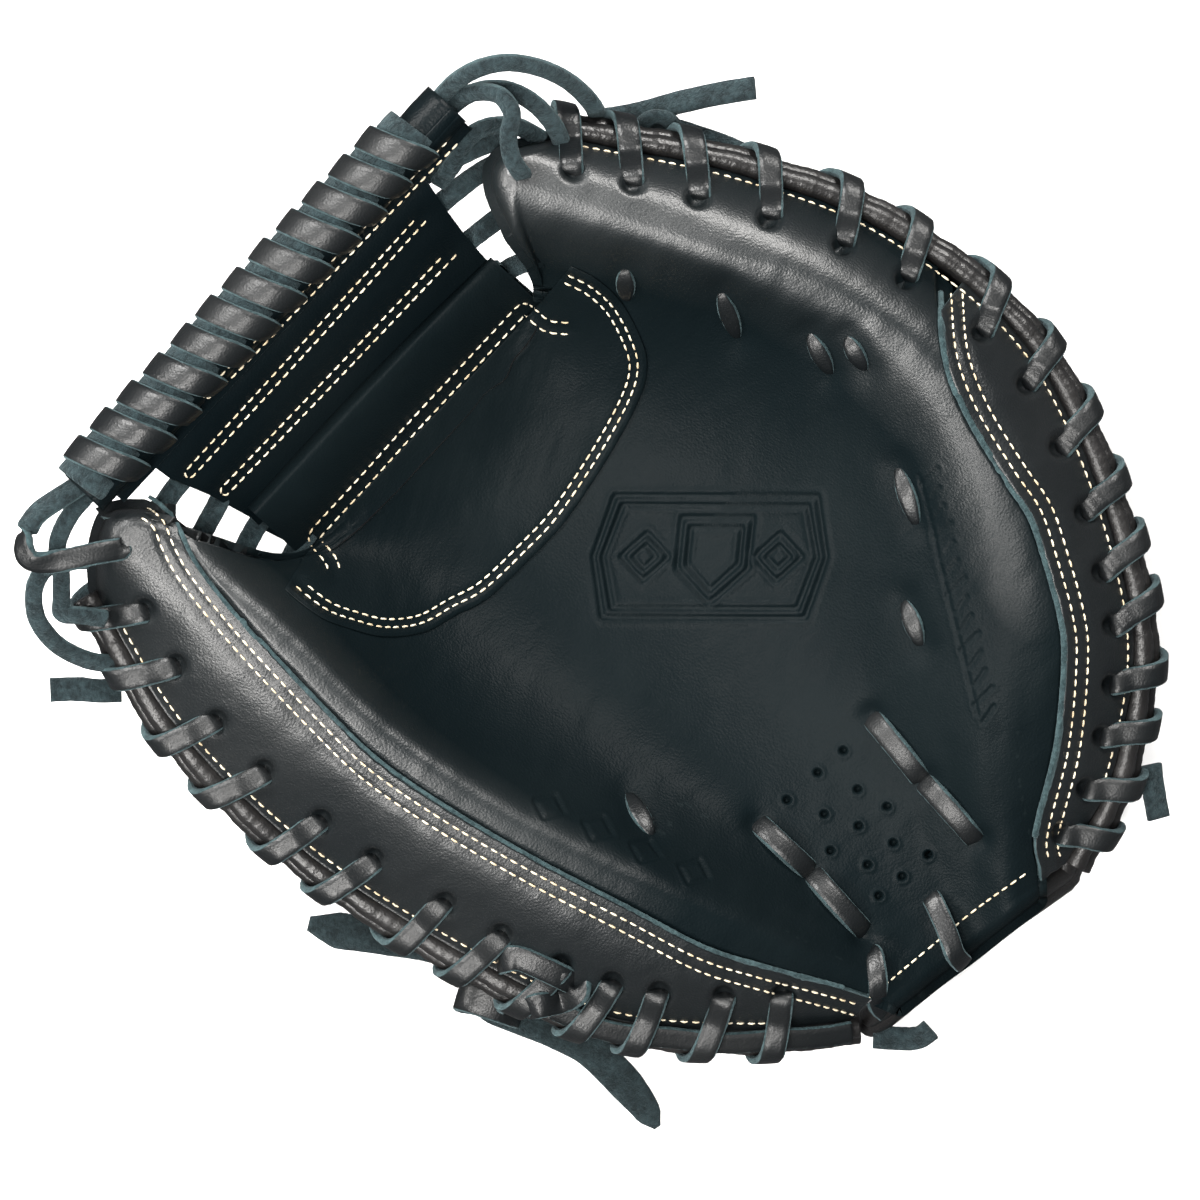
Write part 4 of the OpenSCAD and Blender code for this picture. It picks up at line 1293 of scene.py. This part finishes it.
def build_tails():
    """The free ends of lace."""
    for name, node, route, width, taper, facing, follow in TAILS:
        laces = Laces()
        lace_along(laces, route, facing, width=width, taper=taper, samples=5 * len(route))
        suede_sides = ("strap_suede",) * 3 if node.startswith("strap") else SUEDE
        laces.build(name, slot="lace_suede", materials=suede_sides, follow=follow)
        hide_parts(node)


# How far below their drawn routes the slot laces lie, from the web to the tip.
SLOT_DROP = np.array([[0, 0, 5], [0, 0, 7.5], [0, 0, 6], [0, 0, 6], [0, 0, 6]])
SLOT_LACES = {
    "finger": [[(41, 104.5, 88), (47, 104.2, 91), (53, 103.6, 93), (60, 102.5, 90), (66, 101, 84)],
               [(40, 92.5, 76), (46, 92, 79), (52, 91, 81), (58, 90, 78), (64, 89, 72)],
               [(42, 79.5, 66), (48, 79, 69), (53, 77, 71), (58, 74.5, 69), (63, 72, 64)],
               [(50, 113, 92), (56, 111, 96), (62, 109, 97), (68, 106.5, 95), (73, 104, 90)]],
    "thumb": [[(-44, 105, 88), (-50, 104.5, 92), (-57, 104, 93), (-63, 103, 90), (-68, 102, 84)],
              [(-42, 94, 77), (-49, 93.5, 81), (-55, 92, 82), (-61, 90.5, 78), (-66, 89, 72)],
              [(-42, 82, 67), (-48, 81.5, 71), (-54, 80, 72), (-60, 78, 69), (-65, 76, 64)],
              [(-40, 70, 59), (-46, 69.5, 62), (-51, 68, 63), (-57, 66, 60), (-62, 64, 56)]],
}


def build_web_side_laces():
    """Laces across the slots between the web and the two tips."""
    for side, routes in SLOT_LACES.items():
        laces = Laces()
        for k, route in enumerate(routes):
            twist = (-1) ** k
            facing = [(0.1, 0.5 * twist, 1), (0, 0.2, 1), (0, -0.3 * twist, 1), (0, 0, 1), (0.2, 0.3, 1)]
            lace_along(laces, route - SLOT_DROP, facing, width=5.6, thickness=2.4, samples=22)
        piece = laces.build(f"web_slot_laces_{side}", slot="lace_suede", materials=SUEDE)
        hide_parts(f"web_side_lace_{side}")


FINGER_TOP_LOOPS = [
    [(60, 121, 99), (71, 123.5, 103), (80, 122, 108), (87.5, 117.5, 109), (92.5, 111, 106),
     (95.5, 104, 100), (96.5, 97.5, 91), (96, 92, 80), (95, 89.5, 70)],
    [(60, 119, 98), (69, 120.5, 100), (76, 118, 103), (80.5, 112.5, 106), (79.5, 106.5, 108),
     (74.5, 103, 108), (71, 99, 106), (69.5, 94.5, 103), (69.5, 92.5, 97)],
    [(60, 118, 97), (70, 119.5, 98), (78, 117, 100), (83.5, 111, 101), (85.5, 103, 99), (84.5, 95, 93),
     (81, 88, 86)],
    [(52, 108, 88), (60, 109, 91), (67, 110.5, 93), (73, 108.5, 92), (78, 103, 88), (80, 96, 84)],
]
THUMB_TOP_LOOPS = [
    [(-64, 121, 99), (-76, 124, 100), (-86.5, 126.3, 102), (-94, 123.8, 103), (-96.5, 118.8, 103),
     (-90.5, 112.6, 102), (-83.5, 107.8, 101), (-78.5, 104, 98), (-77, 102.5, 91)],
    [(-64, 119.5, 98), (-75, 120, 98), (-82, 119.3, 99), (-88.6, 116.7, 97), (-93, 111.4, 93),
     (-98, 106.6, 90), (-101.2, 103.4, 88), (-98, 99, 89), (-94.5, 94, 86)],
    [(-86, 108, 92), (-91, 112.5, 93), (-96.5, 114.8, 92), (-102.5, 112.6, 90), (-107.2, 106.8, 86),
     (-108.4, 98.3, 81), (-105.8, 89.6, 77), (-101, 83, 75)],
]


THUMB_LOOP_FACING = [(0.3, -0.6, -1)] * 3 + [(-1, 0.2, 0.6), (-0.5, -1, 1), (0, 0, 1), (0, 0, 1), (0, 0, 1),
                                             (0, 1, 0)]


def build_top_loops(surface):
    """Laces from the open ends of the bar to the two tips. The first of each side lies on the leather."""
    for side, routes in (("finger", FINGER_TOP_LOOPS), ("thumb", THUMB_TOP_LOOPS)):
        laces = Laces()
        for number, route in enumerate(routes):
            over = surface if number == 0 else None
            if over and side == "thumb":
                lace_along(laces, route, THUMB_LOOP_FACING, width=6.2, thickness=2.4, samples=70, over=over)
            else:
                lace_along(laces, route, (0.4, 0.4, -1), width=4.8, thickness=3.2, samples=60, over=over)
        piece = laces.build(f"web_top_loops_{side}", slot="lace_suede", materials=LACE)
        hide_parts(f"web_top_lace_{side}")


STRAP_LOOPS = [
    [(-91, -46.5, 50), (-88.5, -47.5, 62), (-85.5, -50, 66), (-83.2, -56, 66), (-81.3, -62, 66),
     (-80.3, -65.5, 62)],
    [(-78.5, -67, 62), (-82, -67.8, 66), (-86.5, -66, 66), (-91.5, -62.5, 60), (-95.5, -59.5, 51),
     (-97, -56, 42)],
]
STRAP_TAB = [(-101, -50, 31), (-103.4, -46.6, 32.5), (-103.6, -45.4, 36), (-102.4, -47.2, 39.4),
             (-100.4, -51.5, 40.4), (-98.3, -56, 39.6), (-97.3, -58.4, 37), (-96.5, -60, 33)]
STRAP_TAB_FACING = [(-0.4, 0.9, -1), (-0.4, 0.9, -0.3), (-0.4, 0.9, 0.4), (-0.2, 0.3, 1), (0, 0, 1),
                    (0.1, -0.2, 1), (0.3, -0.6, 0.7), (0.4, -0.8, 0.2)]


STRAP_LOOP_FACING = [(-0.8, 0.5, 0.6), (-0.5, 0.4, 1), (-0.3, 0, 1), (-0.3, 0, 1), (-0.2, -0.4, 1),
                     (0, -1, 0.5)]


def build_strap_tie(rim, stations, surface):
    """Where the strap's lace comes through the thumb side: two loops, a folded end and a run on the welts."""
    laces = Laces()
    for route, lying, sunk in zip(STRAP_LOOPS, (slice(1, 5), slice(1, 3)), (5, 0)):
        flat = np.array(route, float)
        flat[lying, 2] = surface.at(flat[lying])[0][:, 2] + 2.6
        flat[sunk, 2] = surface.at(flat[[sunk]])[0][0, 2] - 2.5
        lace_along(laces, flat, STRAP_LOOP_FACING, width=7.0, samples=40)
    lace_along(laces, STRAP_TAB, STRAP_TAB_FACING, width=9.4, thickness=2.4, samples=44)
    s = np.linspace(2.0, stations[4] - 3, 120)
    point, _, out = rim.frame(s)
    path = point + out * (3.4 + 0.4 * np.sin(s * 0.21))[:, None]
    path[:, 2] += 1.9
    laces.add(path, out * 0.5 + [0, 0, 1.0], width=6.2, thickness=1.5)
    piece = laces.build("strap_tie_lace", follow="thumb_side")
    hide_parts("strap_tie_knot")


def dipping_lace(laces, surface, ends, count, depth, rise, power, **size):
    """A short lace that lies on the leather and dips through it at each end."""
    points, normals = surface.at(resample(ends, count=count))
    arch = np.sin(np.linspace(0, math.pi, count))
    points = points + np.array([0, 0, 1]) * (rise * arch**power - depth)[:, None]
    laces.add(points, normals + [0, 0, 0.5], **size)


def build_palm_laces(surface):
    """The two laces beside the crease of the pocket."""
    laces = Laces()
    for lace in PALM_LACES:
        for ends in ((lace[0], lace[2]), (lace[2], lace[4])):
            dipping_lace(laces, surface, ends, 22, 2.2, 4.4, 0.45, width=6.2)
    piece = laces.build("palm_crease_laces")
    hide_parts("palm_lace_finger", "palm_lace_thumb")


def build_pad_ties(surface):
    """The short laces that hold the pads."""
    ties = Laces()
    lens = np.sin(np.linspace(0.08, math.pi - 0.08, 18)) ** 0.6
    for ends in PAD_TIES:
        dipping_lace(ties, surface, ends, 18, 2.0, 3.4, 0.5, width=5.4, thickness=1.8, taper=lens)
    piece = ties.build("pad_tie_lace_bits")
    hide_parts("pad_tie_laces")


def build_heel_binding():
    """The folded edge of the heel, and the back edge under it."""
    v = np.linspace(-3.7, 3.9, 160)
    edge = np.concatenate([front(np.zeros_like(v), v), front(np.linspace(0.05, 0.4, 14), 3.85)])
    up = np.repeat([[0, 0, 1.0]], len(edge), axis=0)
    sides = 18
    for name, move, size in (("heel_edge_binding", (0, -1.2, -9.0), (3.2, 3.6)),
                             ("heel_back_edge", (-1.0, -2.2, -14.5), (4.6, 5.0))):
        path = edge + move
        path[:, 2] += 0.3 * np.sin(np.arange(len(edge)) * 0.11)
        grid = sweep_points(path, up, circle(sides, *size))
        piece = make_piece(name, grid.reshape(-1, 3), tube_faces(len(edge), sides), ["binding_leather"])
        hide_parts("heel_binding")


HEEL_SEAM = [(-30, -126.5), (-8, -129.5), (8, -131.5), (26, -135)]
# Each heel lace, from its hole to the edge that it goes round.
HEEL_LACES = [((-20, -120), (-28.5, -130.5)), ((2, -121.5), (-4.5, -137))]
HEEL_LACE_FACING = [(0, 1, 0.3), (0, 0.4, 1), (0, 0, 1), (0, -0.7, 1), (0, -1, 0), (0, -0.6, -1), (0, 0, -1)]


def build_heel_laces(surface):
    """The laces that come up through the palm leather and go round the edge of the heel."""
    laces = Laces()
    for (hx, hy), (ex, ey) in HEEL_LACES:
        top = surface.at([(hx, hy)])[0][0][2]
        mx, my = (hx + ex) / 2, (hy + ey) / 2
        route = [(hx, hy + 1, top - 3), (hx, hy, top + 0.6), (mx, my, top + 2.8), (ex, ey + 1.5, 43),
                 (ex - 0.4, ey - 1.8, 37), (ex, ey - 0.5, 30), (mx, my, 25)]
        lace_along(laces, route, HEEL_LACE_FACING, width=5.6)
    piece = laces.build("heel_edge_laces")
    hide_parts("heel_lace")


# ---------------------------------------------------------------- back, linings and pads

def uv_grid(u_range, low, high, nu, nv):
    """u and v of a grid between two edges that are functions of u."""
    u = np.linspace(*u_range, nu)[:, None] * np.ones((1, nv))
    a = np.array([low(x) for x in u[:, 0]])
    b = np.array([high(x) for x in u[:, 0]])
    v = a[:, None] + (b - a)[:, None] * np.linspace(0, 1, nv)[None]
    return u, v


def smooth_step(t):
    t = min(1.0, max(0.0, t))
    return t * t * (3 - 2 * t)


def finger_back_edge(u):
    """v of the finger back's inner edge, which leaves the wrist open and crosses the back above it."""
    return 1.65 - 1.25 * smooth_step((u - 1.85) / 0.5) - 1.5 * smooth_step((u - 3.6) / 0.7)


def fixed(value):
    return lambda u: value


def build_pad(name, node, u_range, v_range):
    """A felt pad: full in the middle, and thinner towards its rounded edges."""
    u, v = uv_grid(u_range, fixed(v_range[0]), fixed(v_range[1]), 60, 30)
    top = lowered(front(u, v), LEATHER + 1.9)
    bottom = hand_side(u, v)
    bottom[..., 2] += LINING + 1.9
    s = np.linspace(-1, 1, 60)[:, None]
    t = np.linspace(-1, 1, 30)[None]
    full = np.clip((1 - np.abs(s) ** 8) * (1 - np.abs(t) ** 8), 0.05, 1) ** 0.5
    middle = (top + bottom) / 2
    top = middle + (top - middle) * full[..., None]
    bottom = middle + (bottom - middle) * full[..., None]
    pad = shell(name, top, bottom, "felt", raw=False)
    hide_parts(node)


def build_pads_and_linings():
    """What lies between the palm leather and the hand."""
    build_pad("palm_felt", "palm_pad", (0.6, 5.4), (-1.1, 1.25))
    build_pad("finger_felt", "finger_pad", (0.6, 5.4), (1.4, 3.3))
    build_pad("thumb_felt", "thumb_pad", (0.6, 5.4), (-3.2, -1.3))
    for name, node, u_range, v_range in (
            ("palm_lining_leather", "palm_lining", (0.15, 5.55), (-1.2, 3.4)),
            ("thumb_lining_leather", "thumb_lining", (0.45, 5.55), (-3.4, -1.3))):
        u, v = uv_grid(u_range, fixed(v_range[0]), fixed(v_range[1]), 90, 60)
        low = hand_side(u, v)
        low[..., 2] += (waves(low.reshape(-1, 3), 24, 51) * 0.4).reshape(low.shape[:2])
        piece = shell(name, lowered(low, -LINING), low, "lining_leather")
        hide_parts(node)


def tip_wall(v):
    """Rows that carry the back leather up round a tip, to just inside the rolled edge of the front."""
    grid = front(np.array([[5.8], [5.84], [5.88]]), v)
    ahead = level_step(grid[-1], grid[0])
    low = back(5.85, v)
    high = with_rolled_tip(grid, v)[-3] - ahead * 2.6 - [0, 0, 0.6]
    middle = (low + high) / 2 + ahead * 4.0
    t = np.linspace(0, 1, 26)[1:, None, None]
    return low * (1 - t) ** 2 + middle * 2 * t * (1 - t) + high * t**2


# v of the ridges between the fingers, and how many millimetres one step of v is wide there.
FINGER_RIDGES = (0.55, 1.25, 1.95, 2.6)
MM_PER_V = 26


def finger_ridges(u, v):
    """Ridges with a hollow on each side, over the fingers."""
    lift = np.zeros_like(v)
    for seam in FINGER_RIDGES:
        ridge = np.abs(v - seam) * MM_PER_V
        lift += (u > 2.6) * (1.2 * hump(ridge, 2.0) - 0.5 * hump(ridge - 4, 2))
    return lift.ravel()


def build_back(node, low, high):
    """The back leather of one side, closed at its tip, with its lining."""
    u, v = uv_grid((0.85, 5.85), low, high, 170, 130)
    outer = np.concatenate([back(u, v), tip_wall(v[-1])])
    wall_rows = len(outer) - len(u)
    u = np.concatenate([u, np.full((wall_rows, u.shape[1]), U_WEB)])
    v = np.concatenate([v, np.repeat(v[-1:], wall_rows, axis=0)])
    lift = waves(outer.reshape(-1, 3), 34, 61) * 0.35
    if node == "finger_back":
        lift = lift + finger_ridges(u, v)
    outer = outer - normals_of(outer) * lift.reshape(outer.shape[:2])[..., None]
    outer[..., 2] = np.maximum(outer[..., 2], 0)
    inner = lowered(outer, -LEATHER)
    piece = shell(f"{node}_leather", inner, outer, "back_leather")
    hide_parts(node)
    cloth = lowered(inner[8:-34, 6:-6], -0.8)
    lining = shell(f"{node}_lining_leather", lowered(cloth, -LINING), cloth, "lining_leather")
    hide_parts(f"{node}_lining")


def build_strap():
    u, v = uv_grid((1.12, 1.78), fixed(-1.3), fixed(1.55), 30, 80)
    low = back(u, v)
    strap = shell("wrist_strap_leather", lowered(low, -LEATHER), low, "back_leather")
    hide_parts("wrist_strap")


def build_strap_fleece():
    """The fleece on the hand's side of the strap, full along its middle."""
    u, v = uv_grid((1.16, 1.74), fixed(-1.1), fixed(1.3), 30, 80)
    low = lowered(back(u, v), -LEATHER - 1.8)
    top = low.copy()
    top[..., 2] += 5 * np.sqrt(np.clip(1.05 - np.linspace(-1, 1, 30)[:, None] ** 4, 0, 1))
    fleece = shell("wrist_strap_fleece_pad", top, low, "fleece", raw=False)
    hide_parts("wrist_strap_fleece")


# ---------------------------------------------------------------- assembly

make_camera()
MATERIALS = make_materials()
build_tails()
make_studio()

thumb_line, finger_line = smooth_line(THUMB_SEAM), smooth_line(FINGER_SEAM)
finger_edge = seam_v(offset_line(finger_line, -EDGE_WIDTH), 4.05)
thumb_edge = seam_v(offset_line(thumb_line, EDGE_WIDTH))
finger_rim = Rim(1, 0.05, 5.95)
thumb_rim = Rim(-1, 0.05, 5.95)
finger_stations = loop_places(finger_rim, FINGER_LOOPS)
thumb_stations = loop_places(thumb_rim, THUMB_LOOPS)
finger_holes = hole_points(finger_rim, finger_stations)
thumb_holes = hole_points(thumb_rim, thumb_stations)

palm = build_palm(finger_edge, thumb_edge, finger_holes)
thumb_side = build_gusset("thumb_side_panel", "thumb_gusset", thumb_edge, -1, (0.1, 5.85), thumb_holes,
                          (340, 46))
finger_side = build_gusset("finger_side_panel", "finger_gusset", finger_edge, 1, (0.02, 3.58), finger_holes,
                           (240, 34))
ground = Surface(palm, thumb_side, finger_side)
roll = build_web_roll()
tongue = build_web_tongue(ground)
panel = build_web_panel()
flange = build_web_flange()
web_surface = Surface(palm, thumb_side, finger_side, roll, tongue, panel, flange)

for rim, stations, name in ((finger_rim, finger_stations, "finger"), (thumb_rim, thumb_stations, "thumb")):
    build_welt(f"{name}_front_welt", f"{name}_welt_front", rim, stations, 2.6, 1.6, WELT_R)
    build_welt(f"{name}_back_welt", f"{name}_welt_back", rim, stations, 4.6, 7.2, WELT_R * 0.92)
    raised_loops = 5 if name == "thumb" else 0
    build_rim_lace(f"{name}_rim_lacing", f"{name}_rim_lace", rim, stations, ground, raised_loops)
    rim_point, _, rim_outwards = rim.frame(np.linspace(22, rim.length - 4, 400))
    Stitches().add(ground, rim_point - rim_outwards * 1.6).build(f"{name}_rim_stitches")

Stitches().double(ground, thumb_line[7:]).build("thumb_seam_stitches")
Stitches().double(ground, finger_line[11:]).build("finger_seam_stitches")
Stitches().double(web_surface, smooth_line(POCKET_SEAM), apart=2.2).build("pocket_seam_stitches")
build_raw_edge("thumb_panel_raw_edge", thumb_line[6:-6], EDGE_WIDTH, 1.1, ground)
build_raw_edge("finger_panel_raw_edge", finger_line[10:-6], -EDGE_WIDTH, 1.6, ground)
web_stitches = Stitches()
for row in WEB_ROWS:
    web_stitches.double(web_surface, smooth_line(row), apart=2.4, closed_end=True)
web_stitches.double(web_surface, smooth_line(ROLL_SEAM))
web_stitches.build("web_stitches")

build_bar()
build_bar_wrap()
build_bar_under_wrap()
build_web_side_laces()
build_top_loops(ground)
build_strap_tie(thumb_rim, thumb_stations, ground)
build_palm_laces(ground)
build_pad_ties(ground)
build_heel_binding()
Stitches().add(ground, smooth_line(HEEL_SEAM)).build("heel_stitches")
build_heel_laces(ground)
build_pads_and_linings()
build_back("finger_back", finger_back_edge, fixed(V_RIM))
build_back("thumb_back", fixed(-V_RIM), fixed(-1.4))
build_strap()
build_strap_fleece()

slots = {row["node"]: row["material_slot"] for row in frame["record"]["subparts"]}
for node, part in frame["nodes"].items():
    part.data.materials.clear()
    part.data.materials.append(MATERIALS[slots[node]])
